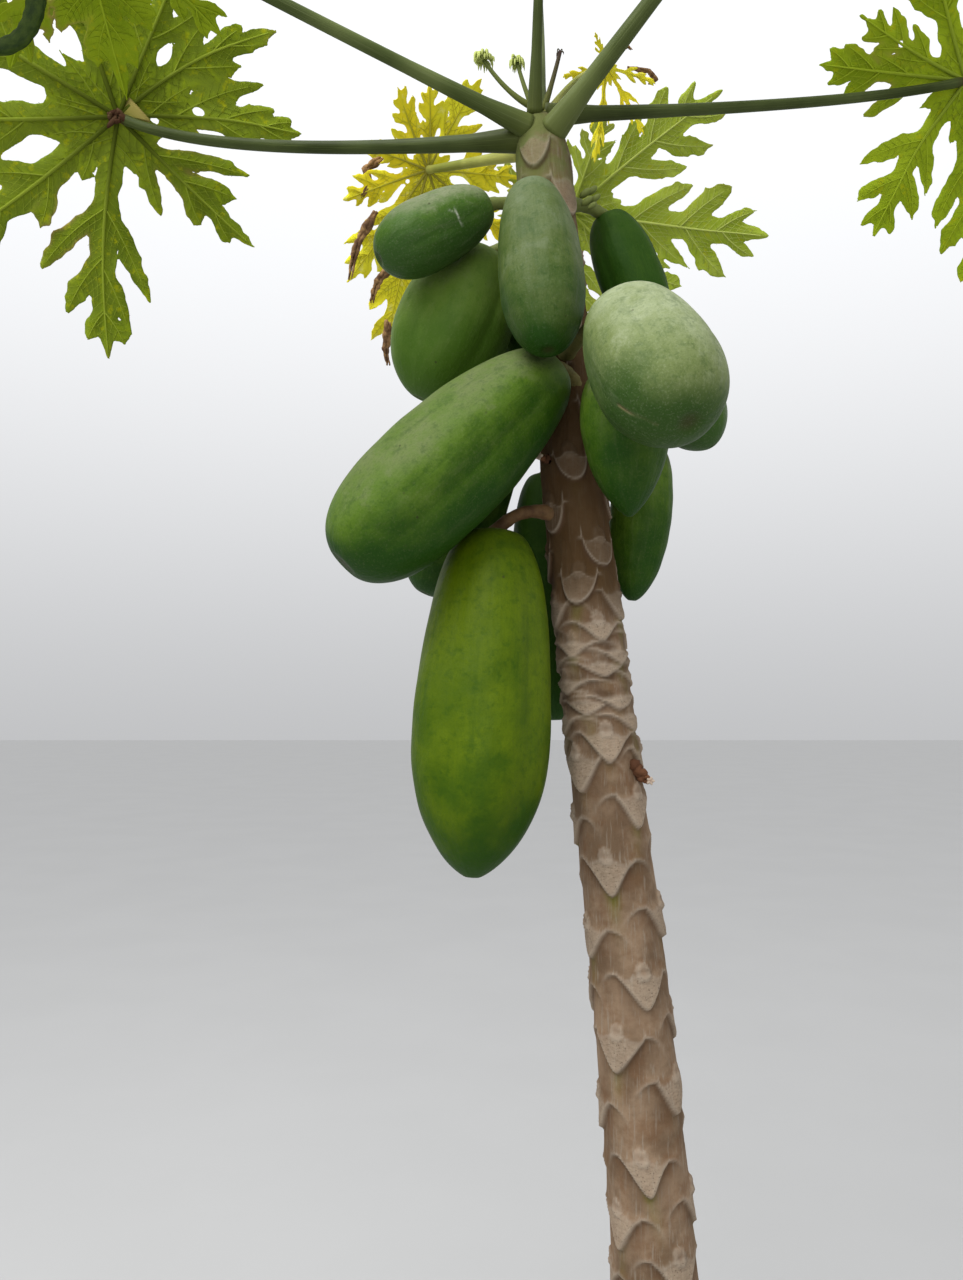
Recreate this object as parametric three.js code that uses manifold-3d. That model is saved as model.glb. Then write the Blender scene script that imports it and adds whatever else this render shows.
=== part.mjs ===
// Papaya tree: one leaning trunk, a crown of long-stalked lobed leaves round its tip, and large
// green fruit on short stalks below them.
// Millimetres, +Z up. The origin is in the middle of the flat cut at ground level, and -Y is the front.
import * as THREE from "three";
import { mergeVertices } from "three/addons/utils/BufferGeometryUtils.js";
import Module from "manifold-3d";

const wasm = await Module();
wasm.setup();

// Gap between a piece and what carries it
const CLEARANCE = 0.4;

// Trunk: its axis as [X, Z], its radius at the ground, the loss per millimetre of height, and its flare
const TRUNK_AXIS = [
  [0, -20],
  [-3, 120],
  [-14, 450],
  [-31, 812],
  [-74, 1309],
  [-109, 1632],
  [-124, 1784],
  [-158, 2178],
  [-166, 2268],
];
const TRUNK_FOOT_RADIUS = 59.5;
const TRUNK_TAPER = 0.011;
const FLARE_RADIUS = 26;
const FLARE_HEIGHT = 75;
const TRUNK_TIP_HEIGHT = 2268;
const TRUNK_DOME_HEIGHT = 70;
const TRUNK_SIDES = 16;
const TRUNK_RINGS = 20;

// Leaf blade: ribs spread from one hub, each the middle of a lobe with side lobes on both edges.
// Lengths are shares of the blade's, and inside a lobe they are shares of that lobe's own length.
const EVEN_LOBES = [
  [-160, 0.66],
  [-120, 0.86],
  [-80, 0.94],
  [-40, 0.98],
  [0, 1],
  [40, 0.98],
  [80, 0.94],
  [120, 0.86],
  [160, 0.66],
];
const WEB_SHARE = 0.25;
const STALK_WEB_SHARE = 0.12;
const SIDE_LOBES = [
  { tip: [0.64, 0.205], notch: [0.47, 0.05] },
  { tip: [0.81, 0.165], notch: [0.68, 0.045] },
  { tip: [0.92, 0.095], notch: [0.83, 0.04] },
];
const EDGE_STAGGER = 0.03;
const VEIN_SWEEP = 0.06;
const BLADE_THICKNESS = 0.021;
const BLADE_FOLD = 0.12;
const DROOP_SPREAD = 0.25;
const LOBE_ROOM = 0.9;

// Leaf stalk: radii as shares of its own, from the swollen foot to the hub
const STALK_PROFILE = [
  [0, 1.95],
  [0.05, 1.65],
  [0.12, 1.24],
  [0.3, 1],
  [0.48, 0.93],
  [0.66, 0.87],
  [0.8, 0.83],
  [0.92, 0.79],
  [1, 0.76],
];
const STALK_SIDES = 8;
const FOOT_DEPTH = 0.65;

// Leaves: the stalk leaves the trunk at a height and an angle (0 is the front, + is the right), is
// drawn toward a bend and runs to the hub. The blade's upper side faces one way and its middle lobe
// points another. Lobes are [turn from the middle one, share of the blade's length]; a withered
// leaf's are narrow.
const LEAVES = [
  { name: "left", foot: [2232, -88], bend: [-616, 86, 2252], hub: [-760, 120, 2340], radius: 8.8, length: 400,
    faces: [-0.31, 0.83, 0.45], points: [-1, -0.1, 0.32], droop: 0.12, width: 1, colour: "green",
    lobes: [[-154, 0.62], [-99, 0.86], [-52, 0.95], [-20, 1], [12, 1], [57, 0.85], [101, 0.72], [135, 0.65], [165, 0.66]] },
  { name: "back", foot: [2200, 165], bend: [-115, 180, 2330], hub: [-90, 350, 2322], radius: 8, length: 330,
    faces: [0.3, 0.75, 0.58], points: [0.95, -0.3, -0.1], droop: 0.12, width: 1, colour: "green",
    lobes: [[-148, 0.45], [-108, 0.47], [-65, 0.47], [-33, 0.87], [8, 1], [46, 0.88], [88, 0.72], [131, 0.5], [173, 0.42]] },
  { name: "upper_right", foot: [2230, 33], bend: [1, -170, 2360], hub: [235, -312, 2598], radius: 9.6, length: 350,
    faces: [0.25, -0.1, 0.95], points: [0.8, -0.59, 0], droop: 0.3, width: 1, colour: "green", lobes: EVEN_LOBES },
  { name: "yellow", foot: [2226, -145], bend: [-280, 160, 2290], hub: [-324, 250, 2336], radius: 7.5, length: 260,
    faces: [-0.25, 0.75, 0.6], points: [-0.75, 0.1, -0.65], droop: 0.2, width: 1, colour: "yellow",
    lobes: [[-139, 0.56], [-107, 0.64], [-72, 0.62], [-35, 1.06], [-11, 0.8], [21, 0.55], [56, 0.4], [104, 0.47], [127, 0.46], [158, 0.58]] },
  { name: "upper_left", foot: [2238, -42], bend: [-421, -110, 2303], hub: [-690, -200, 2390], radius: 8.2, length: 330,
    faces: [-0.06, -0.07, 1], points: [-0.94, -0.33, 0], droop: 0.3, width: 1, colour: "green",
    lobes: [[-139, 0.69], [-100, 0.84], [-68, 0.79], [-35, 0.95], [0, 1], [38, 0.98], [78, 0.94], [115, 0.85], [152, 0.66]] },
  { name: "right", foot: [2266, 94], bend: [281, 72, 2324], hub: [444, 100, 2380], radius: 7.8, length: 340,
    faces: [0.1, 0.8, 0.55], points: [0.94, -0.1, 0.35], droop: 0.14, width: 1, colour: "green",
    lobes: [[-154, 0.62], [-134, 0.53], [-100, 0.77], [-57, 0.85], [-12, 0.95], [31, 1], [63, 0.95], [95, 0.85], [135, 0.67]] },
  { name: "high_back", foot: [2244, -178], bend: [-142, 190, 2760], hub: [-200, 400, 2965], radius: 6.8, length: 310,
    faces: [-0.12, -0.25, 0.95], points: [-0.3, 1, 0.2], droop: 0.12, width: 1, colour: "green", lobes: EVEN_LOBES },
  { name: "high_right", foot: [2248, 140], bend: [100, 0, 2560], hub: [378, -40, 2927], radius: 6.8, length: 320,
    faces: [0.2, 0.25, 0.95], points: [0.8, 0.6, 0], droop: 0.12, width: 1, colour: "green", lobes: EVEN_LOBES },
  { name: "front", foot: [2256, -31], bend: [-168, -150, 2530], hub: [-158, -290, 2800], radius: 5.4, length: 280,
    faces: [-0.05, -0.35, 0.92], points: [-0.2, -0.95, -0.3], droop: 0.26, width: 1, colour: "green", lobes: EVEN_LOBES },
  { name: "wilted", foot: [2262, 78], bend: [-110, 62, 2372], hub: [-61, 120, 2414], radius: 4, length: 100,
    faces: [0.2, 0.7, 0.7], points: [0.7, 0.3, -0.5], droop: 0.4, width: 0.5, colour: "yellow", lobes: EVEN_LOBES },
];

// Young leaves at the tip: a thin curved stalk, and a folded leaf that nods from it
const YOUNG_STALK_RADIUS = 4.2;
const YOUNG_STALK_SIDES = 7;
const FOLD_COUNT = 6;
const FOLD_DEPTH = 0.22;
const YOUNG_LEAVES = [
  { name: "young_leaf_left", foot: [-170, 0, 2275], bend: [-205, 2, 2292], tip: [-237, 4, 2343], fold: 12, long: 30 },
  { name: "young_leaf_mid", foot: [-166, 14, 2270], bend: [-180, 28, 2305], tip: [-192, 34, 2352], fold: 10, long: 34 },
  { name: "bare_young_stalk", foot: [-160, 2, 2272], bend: [-148, 8, 2310], tip: [-136, 14, 2362], fold: 5, long: 11 },
];

// Fruit: the stalk leaves the trunk at a height and an angle (0 is the front, + is the right) and
// enters at the top; rise lifts its middle. The body runs from top to tip.
const FRUIT_STALK_RADIUS = 8.5;
const FRUIT_STALK_SIDES = 8;
const FRUIT_SIDES = 12;
const FRUIT_RINGS = 8;
const TOP_POWER = 2;
const TIP_POWER = 2.2;
const FRUITS = [
  { name: "fruit_top_left", from: [2138, -85], rise: 8, top: [-231, -44, 2124], tip: [-365, -73, 2038],
    radius: 44.2, belly: 0.6, shoulder: 0.36, point: 0.46 },
  { name: "fruit_top_front", from: [2118, 5], rise: 18, top: [-181, -96, 2118], tip: [-165, -150, 1894],
    radius: 49.6, belly: 0.57, shoulder: 0.35, point: 0.45 },
  { name: "fruit_mid_left", from: [2085, -120], rise: 16, top: [-229, 32, 2101], tip: [-323, 50, 1905],
    radius: 73.6, belly: 0.55, shoulder: 0.4, point: 0.55 },
  { name: "fruit_long_left", from: [1896, 22], rise: 10, top: [-147, -63, 1913], tip: [-398, -116, 1658],
    radius: 75, belly: 0.64, shoulder: 0.38, point: 0.4 },
  { name: "fruit_back_left", from: [1862, -130], rise: 10, top: [-215, 90, 1875], tip: [-317, 80, 1648],
    radius: 56.9, belly: 0.6, shoulder: 0.36, point: 0.5 },
  { name: "fruit_lowest", from: [1735, -58], rise: 26, top: [-225, -30, 1719], tip: [-251, -60, 1296],
    radius: 81.1, belly: 0.65, shoulder: 0.317, point: 0.6 },
  { name: "fruit_top_right", from: [2150, 112], rise: 10, top: [-72, 60, 2166], tip: [-1, 75, 1988],
    radius: 42.1, belly: 0.5, shoulder: 0.36, point: 0.5 },
  { name: "fruit_front_right", from: [1934, 2], rise: 14, top: [-94, -180, 1932], tip: [-39, -290, 1771],
    radius: 65, belly: 0.6, shoulder: 0.45, point: 0.5 },
  { name: "fruit_under_right", from: [1878, 48], rise: 0, top: [-78, -112, 1900], tip: [-66, -86, 1719],
    radius: 52, belly: 0.36, shoulder: 0.4, point: 0.8 },
  { name: "fruit_low_right", from: [1838, 112], rise: 10, top: [-19, 55, 1851], tip: [-40, 70, 1637],
    radius: 40.5, belly: 0.45, shoulder: 0.36, point: 0.6 },
  { name: "fruit_far_right", from: [1950, 98], rise: 8, top: [-13, 30, 1962], tip: [58, 20, 1832],
    radius: 48.1, belly: 0.55, shoulder: 0.36, point: 0.6 },
  { name: "fruit_low_back", from: [1815, -175], rise: 12, top: [-151, 120, 1827], tip: [-138, 120, 1477],
    radius: 56.7, belly: 0.6, shoulder: 0.36, point: 0.6 },
  { name: "fruit_top_back", from: [2108, -165], rise: 14, top: [-172, 110, 2121], tip: [-170, 150, 1936],
    radius: 53.9, belly: 0.6, shoulder: 0.36, point: 0.6 },
  { name: "fruit_mid_back", from: [2018, 152], rise: 14, top: [-71, 135, 2033], tip: [-57, 150, 1806],
    radius: 51.3, belly: 0.6, shoulder: 0.36, point: 0.6 },
];

const COLOURS = {
  bark: new THREE.MeshStandardMaterial({ color: 0x9a8571, roughness: 0.9, metalness: 0 }),
  stalk: new THREE.MeshStandardMaterial({ color: 0x6f8a4a, roughness: 0.5, metalness: 0 }),
  green: new THREE.MeshStandardMaterial({ color: 0x6c8f22, roughness: 0.6, metalness: 0 }),
  yellow: new THREE.MeshStandardMaterial({ color: 0xb9ae2e, roughness: 0.65, metalness: 0 }),
  fruit: new THREE.MeshStandardMaterial({ color: 0x4f7a3c, roughness: 0.45, metalness: 0 }),
};

const vector = (numbers) => new THREE.Vector3(...numbers);
const UP = new THREE.Vector3(0, 0, 1);

// A closed manifold solid from a geometry
function solidOf(geometry) {
  const bare = new THREE.BufferGeometry();
  bare.setAttribute("position", geometry.getAttribute("position"));
  bare.setIndex(geometry.getIndex());
  const merged = mergeVertices(bare, 1e-3);
  const corners = merged.getIndex().array;
  const kept = [];
  for (let i = 0; i < corners.length; i += 3) {
    const [a, b, c] = corners.subarray(i, i + 3);
    if (a !== b && b !== c && c !== a) kept.push(a, b, c);
  }
  return new wasm.Manifold(
    new wasm.Mesh({
      numProp: 3,
      vertProperties: new Float32Array(merged.getAttribute("position").array),
      triVerts: new Uint32Array(kept),
    }),
  );
}

// The largest body of a solid, so that a loose scrap of a cut is dropped, as a geometry
function geometryOf(solid) {
  const bodies = solid.decompose();
  const largest = bodies.reduce((best, body) => (body.volume() > best.volume() ? body : best));
  const mesh = largest.getMesh();
  const geometry = new THREE.BufferGeometry();
  geometry.setAttribute("position", new THREE.BufferAttribute(mesh.vertProperties, 3));
  geometry.setIndex(new THREE.BufferAttribute(mesh.triVerts, 1));
  return geometry;
}

// A round body with its axis bent along a curve that lies in one plane or near it.
// The profile holds [share of the length, radius].
function bentLathe(profile, curve, sides) {
  const outline = profile.map(([share, radius]) => new THREE.Vector2(radius, share));
  const closed = [new THREE.Vector2(0, profile[0][0]), ...outline, new THREE.Vector2(0, profile.at(-1)[0])];
  const body = new THREE.LatheGeometry(closed, sides);
  const chord = curve.getPoint(1).sub(curve.getPoint(0));
  const across = chord.clone().cross(curve.getTangent(0)).normalize();
  if (across.length() < 0.5) across.crossVectors(chord, Math.abs(chord.z) > Math.abs(chord.x) ? new THREE.Vector3(0, 1, 0) : UP).normalize();
  const places = body.getAttribute("position");
  const place = new THREE.Vector3();
  for (let i = 0; i < places.count; i++) {
    place.fromBufferAttribute(places, i);
    const share = THREE.MathUtils.clamp(place.y, 0, 1);
    const along = curve.getTangentAt(share);
    const side = across.clone().addScaledVector(along, -across.dot(along)).normalize();
    const other = side.clone().cross(along);
    const centre = curve.getPointAt(share).addScaledVector(side, place.x).addScaledVector(other, place.z);
    places.setXYZ(i, centre.x, centre.y, centre.z);
  }
  return solidOf(body);
}

const trunkCurve = new THREE.CatmullRomCurve3(TRUNK_AXIS.map(([x, z]) => new THREE.Vector3(x, 0, z)));

// The trunk's axis point at a height
function trunkCentre(height) {
  let low = 0;
  let high = 1;
  while (high - low > 1e-6) {
    const middle = (low + high) / 2;
    if (trunkCurve.getPointAt(middle).z < height) low = middle;
    else high = middle;
  }
  return trunkCurve.getPointAt(low);
}

function trunkRadius(height) {
  const straight = TRUNK_FOOT_RADIUS - TRUNK_TAPER * height + FLARE_RADIUS * Math.exp(-height / FLARE_HEIGHT);
  const intoDome = Math.max(0, (height - TRUNK_TIP_HEIGHT + TRUNK_DOME_HEIGHT) / TRUNK_DOME_HEIGHT);
  return straight * Math.sqrt(Math.max(0.03, 1 - intoDome ** 2));
}

// A point at a share of the trunk's radius, at a height and an angle round it (0 is the front, + is the right)
function onTrunk(height, angle, share) {
  const turn = THREE.MathUtils.degToRad(angle);
  const outward = new THREE.Vector3(Math.sin(turn), -Math.cos(turn), 0);
  return trunkCentre(height).addScaledVector(outward, trunkRadius(height) * share);
}

// The trunk cut flat at the ground, grown all over by a margin for cutting what stands on it
function trunkSolid(margin) {
  const profile = [];
  const end = margin > 0 ? 1 : 1 - CLEARANCE / trunkCurve.getLength();
  for (let ring = 0; ring <= TRUNK_RINGS; ring++) {
    const share = end * (1 - (1 - ring / TRUNK_RINGS) ** 1.25);
    profile.push([share, trunkRadius(Math.max(0, trunkCurve.getPointAt(share).z)) + margin]);
  }
  return bentLathe(profile, trunkCurve, TRUNK_SIDES).trimByPlane([0, 0, 1], 0);
}

const trunk = trunkSolid(0);
const trunkClear = trunkSolid(CLEARANCE);

// A leaf stalk from inside the trunk to just short of the hub, or grown all over by a margin for
// cutting its neighbours
function stalkSolid(leaf, margin) {
  const foot = onTrunk(...leaf.foot, FOOT_DEPTH);
  const bend = vector(leaf.bend);
  const start = foot.clone().addScaledVector(bend.clone().sub(foot).normalize(), -2 * margin);
  const curve = new THREE.QuadraticBezierCurve3(start, bend, vector(leaf.hub));
  const end = margin > 0 ? 1 : 1 - CLEARANCE / curve.getLength();
  const profile = STALK_PROFILE.map(([share, radius]) => [share * end, radius * leaf.radius + margin]);
  return bentLathe(profile, curve, STALK_SIDES);
}

// One edge of a lobe as points from the web to the tip: a side lobe's tip, then the notch after it.
// Neighbours that stand close leave their side lobes less room.
function lobeEdge(edge, turnToNext) {
  const room = Math.tan(Math.min(turnToNext, 1.2) / 2) * LOBE_ROOM;
  return SIDE_LOBES.flatMap(({ tip, notch }) =>
    [tip, notch].map(([along, across]) => {
      const place = along + EDGE_STAGGER * edge;
      return { along: place, across: edge * Math.min(across, place * room) };
    }),
  );
}

// A leaf blade: a thin curved plate with its hub at the origin, the middle lobe along +X and the upper side up
function bladeSolid(leaf) {
  const spots = [];
  const faces = [];
  const rim = [];
  const add = (x, y, lateral, droop) => {
    const fall = (-droop * (x * x + y * y)) / leaf.length;
    return spots.push(new THREE.Vector3(x, y, fall + BLADE_FOLD * lateral)) - 1;
  };
  const lobes = leaf.lobes.map(([turn, share]) => {
    const droop = leaf.droop * (1 + DROOP_SPREAD * Math.sin(turn));
    return { angle: THREE.MathUtils.degToRad(turn), droop, long: share * leaf.length };
  });
  const hub = add(0, 0, 0, 0);
  const stalkWeb = add(-STALK_WEB_SHARE * leaf.length, 0, 0, 0);
  const webs = [stalkWeb];
  for (let i = 1; i < lobes.length; i++) {
    const angle = (lobes[i - 1].angle + lobes[i].angle) / 2;
    const radius = (leaf.width * WEB_SHARE * (lobes[i - 1].long + lobes[i].long)) / 2;
    const droop = (lobes[i - 1].droop + lobes[i].droop) / 2;
    webs.push(add(radius * Math.cos(angle), radius * Math.sin(angle), radius * 0.3, droop));
  }
  webs.push(stalkWeb);
  lobes.forEach((lobe, i) => {
    const forward = new THREE.Vector2(Math.cos(lobe.angle), Math.sin(lobe.angle));
    const onLobe = ({ along, across }) =>
      add(
        lobe.long * (along * forward.x - leaf.width * across * forward.y),
        lobe.long * (along * forward.y + leaf.width * across * forward.x),
        lobe.long * Math.abs(across),
        lobe.droop,
      );
    const right = lobeEdge(-1, lobe.angle - (lobes[i - 1]?.angle ?? lobes.at(-1).angle - 2 * Math.PI));
    const left = lobeEdge(1, (lobes[i + 1]?.angle ?? lobes[0].angle + 2 * Math.PI) - lobe.angle);
    const tip = onLobe({ along: 1, across: 0 });
    let rib = hub;
    let rightEdge = webs[i];
    let leftEdge = webs[i + 1];
    for (let k = 0; k < right.length; k += 2) {
      const nextRib = onLobe({ along: (right[k + 1].along + left[k + 1].along) / 2 - VEIN_SWEEP, across: 0 });
      const [rightTip, rightNotch, leftTip, leftNotch] = [right[k], right[k + 1], left[k], left[k + 1]].map(onLobe);
      faces.push([rib, rightEdge, rightNotch], [rib, rightNotch, nextRib], [rightEdge, rightTip, rightNotch]);
      faces.push([rib, leftNotch, leftEdge], [rib, nextRib, leftNotch], [leftEdge, leftNotch, leftTip]);
      rim.push([rightEdge, rightTip], [rightTip, rightNotch], [leftTip, leftEdge], [leftNotch, leftTip]);
      [rib, rightEdge, leftEdge] = [nextRib, rightNotch, leftNotch];
    }
    faces.push([rib, rightEdge, tip], [rib, tip, leftEdge]);
    rim.push([rightEdge, tip], [tip, leftEdge]);
  });
  return plateSolid(spots, faces, rim, BLADE_THICKNESS * leaf.length, bladeFrame(leaf));
}

// A plate of one thickness from its middle surface, its rim's edges and its place
function plateSolid(spots, faces, rim, thickness, frame) {
  const count = spots.length;
  const places = new Float32Array(count * 6);
  spots.forEach((spot, i) => {
    places.set([spot.x, spot.y, spot.z + thickness / 2], i * 3);
    places.set([spot.x, spot.y, spot.z - thickness / 2], (count + i) * 3);
  });
  const corners = [];
  for (const [a, b, c] of faces) corners.push(a, b, c, count + a, count + c, count + b);
  for (const [a, b] of rim) corners.push(a, count + a, b, b, count + a, count + b);
  const geometry = new THREE.BufferGeometry();
  geometry.setAttribute("position", new THREE.BufferAttribute(places, 3));
  geometry.setIndex(corners);
  return solidOf(geometry.applyMatrix4(frame));
}

// The blade's own axes, turned to face and point as the leaf does, with its hub in place
function bladeFrame(leaf) {
  const upper = vector(leaf.faces).normalize();
  const middle = vector(leaf.points);
  middle.addScaledVector(upper, -middle.dot(upper)).normalize();
  const across = upper.clone().cross(middle);
  return new THREE.Matrix4().makeBasis(middle, across, upper).setPosition(...leaf.hub);
}

// The share of its greatest radius that a fruit has at a share of its length
function fruitRadius(fruit, share) {
  if (share < fruit.belly) return (1 - (1 - share / fruit.belly) ** TOP_POWER) ** fruit.shoulder;
  return (1 - ((share - fruit.belly) / (1 - fruit.belly)) ** TIP_POWER) ** fruit.point;
}

function fruitSolid(fruit) {
  const top = vector(fruit.top);
  const tip = vector(fruit.tip);
  const profile = [];
  for (let ring = 1; ring < FRUIT_RINGS; ring++) {
    const share = (1 - Math.cos((Math.PI * ring) / FRUIT_RINGS)) / 2;
    profile.push([share, fruit.radius * fruitRadius(fruit, share)]);
  }
  const outline = [[0, 0.28 * fruit.radius], ...profile, [1, 0.06 * fruit.radius]];
  return bentLathe(outline, new THREE.LineCurve3(top, tip), FRUIT_SIDES);
}

// A fruit's stalk, from inside the trunk to just inside the fruit's top
function fruitStalkSolid(fruit) {
  const top = vector(fruit.top);
  const into = vector(fruit.tip).sub(top).normalize();
  const middle = onTrunk(...fruit.from, 1).lerp(top, 0.55).addScaledVector(UP, fruit.rise);
  const end = top.clone().addScaledVector(into, FRUIT_STALK_RADIUS * 1.4);
  const curve = new THREE.QuadraticBezierCurve3(onTrunk(...fruit.from, 0.6), middle, end);
  const profile = [[0, 1.25], [0.35, 1], [0.7, 1], [1, 1.1]];
  return bentLathe(profile.map(([share, wide]) => [share, wide * FRUIT_STALK_RADIUS]), curve, FRUIT_STALK_SIDES);
}

// A young leaf: its stalk, with a ribbed folded leaf hanging from the tip
function youngLeafSolid(young) {
  const tip = vector(young.tip);
  const curve = new THREE.QuadraticBezierCurve3(vector(young.foot), vector(young.bend), tip);
  const stalk = bentLathe([[0, YOUNG_STALK_RADIUS * 1.5], [0.5, YOUNG_STALK_RADIUS], [1, YOUNG_STALK_RADIUS * 0.8]], curve, YOUNG_STALK_SIDES);
  const outward = tip.clone().sub(vector(young.foot)).setZ(0).normalize();
  const hangs = tip.clone().addScaledVector(outward, young.fold * 0.8).addScaledVector(UP, -young.long * 0.55);
  const start = tip.clone().addScaledVector(UP, young.fold * 0.45);
  const folded = new THREE.LatheGeometry(
    [[0, 0], [0.62, 0.12], [1, 0.4], [0.72, 0.75], [0, 1]].map(([wide, share]) => new THREE.Vector2(wide * young.fold, share * young.long)),
    FOLD_COUNT * 2,
  );
  const places = folded.getAttribute("position");
  for (let i = 0; i < places.count; i++) {
    const turn = Math.atan2(places.getZ(i), places.getX(i));
    const ripple = 1 + FOLD_DEPTH * Math.cos(FOLD_COUNT * turn);
    places.setXYZ(i, places.getX(i) * ripple, places.getY(i), places.getZ(i) * ripple);
  }
  const swing = new THREE.Quaternion().setFromUnitVectors(new THREE.Vector3(0, 1, 0), hangs.sub(start).normalize());
  folded.applyQuaternion(swing).translate(start.x, start.y, start.z);
  return stalk.add(solidOf(folded));
}

const tree = new THREE.Group();

function addPiece(name, solid, material) {
  const mesh = new THREE.Mesh(geometryOf(solid), material);
  mesh.name = name;
  tree.add(mesh);
}

addPiece("trunk", trunk, COLOURS.bark);
let inTheWay = trunkClear;
for (const leaf of LEAVES) {
  addPiece(`stalk_${leaf.name}`, stalkSolid(leaf, 0).subtract(inTheWay), COLOURS.stalk);
  inTheWay = inTheWay.add(stalkSolid(leaf, CLEARANCE));
  addPiece(`blade_${leaf.name}`, bladeSolid(leaf).subtract(stalkSolid(leaf, CLEARANCE)), COLOURS[leaf.colour]);
}
for (const young of YOUNG_LEAVES) {
  addPiece(young.name, youngLeafSolid(young).subtract(inTheWay), COLOURS.green);
}
for (const fruit of FRUITS) {
  addPiece(fruit.name, fruitSolid(fruit).add(fruitStalkSolid(fruit)).subtract(trunkClear), COLOURS.fruit);
}

export default tree;
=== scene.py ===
"""Papaya tree in fruit: scarred trunk, leaf stalks, lobed leaves, young growth, hanging fruit and a stage."""

import math

import bpy
import numpy as np
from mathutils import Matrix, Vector


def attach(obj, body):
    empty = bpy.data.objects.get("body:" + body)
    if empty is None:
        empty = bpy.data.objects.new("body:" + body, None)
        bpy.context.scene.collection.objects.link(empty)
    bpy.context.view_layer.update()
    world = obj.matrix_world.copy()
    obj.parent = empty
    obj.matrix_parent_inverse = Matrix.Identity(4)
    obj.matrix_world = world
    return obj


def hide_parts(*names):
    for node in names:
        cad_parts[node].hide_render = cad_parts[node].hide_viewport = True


bl_info = {
    "name": "Papaya Tree",
    "version": (1, 0, 0),
    "blender": (4, 5, 0),
    "location": "View3D > Sidebar > Papaya",
    "description": "Dresses a fruiting papaya tree with scarred bark, leaves, stalks and waxy fruit",
    "category": "Add Mesh",
}

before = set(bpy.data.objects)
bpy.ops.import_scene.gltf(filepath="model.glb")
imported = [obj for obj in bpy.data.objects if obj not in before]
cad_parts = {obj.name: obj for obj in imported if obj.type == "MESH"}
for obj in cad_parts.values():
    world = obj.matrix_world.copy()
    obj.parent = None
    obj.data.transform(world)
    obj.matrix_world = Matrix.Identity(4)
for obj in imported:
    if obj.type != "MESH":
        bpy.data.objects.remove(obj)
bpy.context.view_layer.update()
BODY = "root"
MERGE_DISTANCE = 1e-5
UP = np.array([0.0, 0.0, 1.0])
FULL_TURN = 2 * math.pi

# Trunk: the middle of the stem leans to the left as it rises, as places across and above the ground
TRUNK_AXIS = [
    (0, -0.020),
    (-0.003, 0.120),
    (-0.014, 0.450),
    (-0.031, 0.812),
    (-0.074, 1.309),
    (-0.109, 1.632),
    (-0.124, 1.784),
    (-0.158, 2.178),
    (-0.166, 2.268),
]
TRUNK_FOOT_RADIUS = 0.0595
TRUNK_TAPER = 0.011
FLARE_RADIUS = 0.026
FLARE_HEIGHT = 0.075
TRUNK_TIP_HEIGHT = 2.268
TRUNK_DOME_HEIGHT = 0.070

# Leaf scars climb the stem by the golden angle.
# Each pair is a scar's number, counted downwards, and its tip's height.
SCAR_TURN = 137.5
FIRST_SCAR_TURN = -18
SCAR_HEIGHTS = [
    (-61, 2.225),
    (-45, 1.838),
    (-37, 1.669),
    (-34, 1.622),
    (-29, 1.576),
    (-11, 1.476),
    (-8, 1.430),
    (-5, 1.394),
    (-3, 1.352),
    (0, 1.273),
    (5, 1.142),
    (10, 1.018),
    (13, 0.931),
    (18, 0.815),
    (49, 0.040),
]

# Broad fresh scars of the young stem: a tip's height and turn, and the scar's width
YOUNG_SCARS = [
    (2.176, -24, 0.044), (2.118, 46, 0.050), (2.130, -95, 0.046), (2.165, 115, 0.046), (2.120, 175, 0.048),
]
# Leaf scars of the number rule end here, where the broad fresh ones begin
OLD_SCARS_END = 2.10
# Parts of a scar in metres: its rim lies inside the edge, is this wide and stands out this far
RIM_INSIDE = 0.0020
RIM_WIDTH = 0.0021
RIM_HEIGHT = 0.0009
TOP_RIM_WIDTH = 0.0023
TOP_RIM_HEIGHT = 0.0005
# The stub of a flower stalk above a scar: how far above, its half width and height, and how far it stands out
KNOB_ABOVE = 0.0065
KNOB_HALF = (0.0080, 0.0100)
KNOB_HEIGHT = 0.0040
HOLLOW_DEPTH = 0.0026
# The bark's mesh: faces round it, the height from which the photo shows it, and the rows below and above that
BARK_AROUND = 140
BARK_SEEN_FROM = 0.74
BARK_LOW_ROWS = 130
BARK_HIGH_ROWS = 560

# Lobes of a leaf that the photo doesn't show, as turns and shares of its length
EVEN_LOBES = [
    (-160, 0.66), (-120, 0.86), (-80, 0.94), (-40, 0.98), (0, 1),
    (40, 0.98), (80, 0.94), (120, 0.86), (160, 0.66),
]

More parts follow.
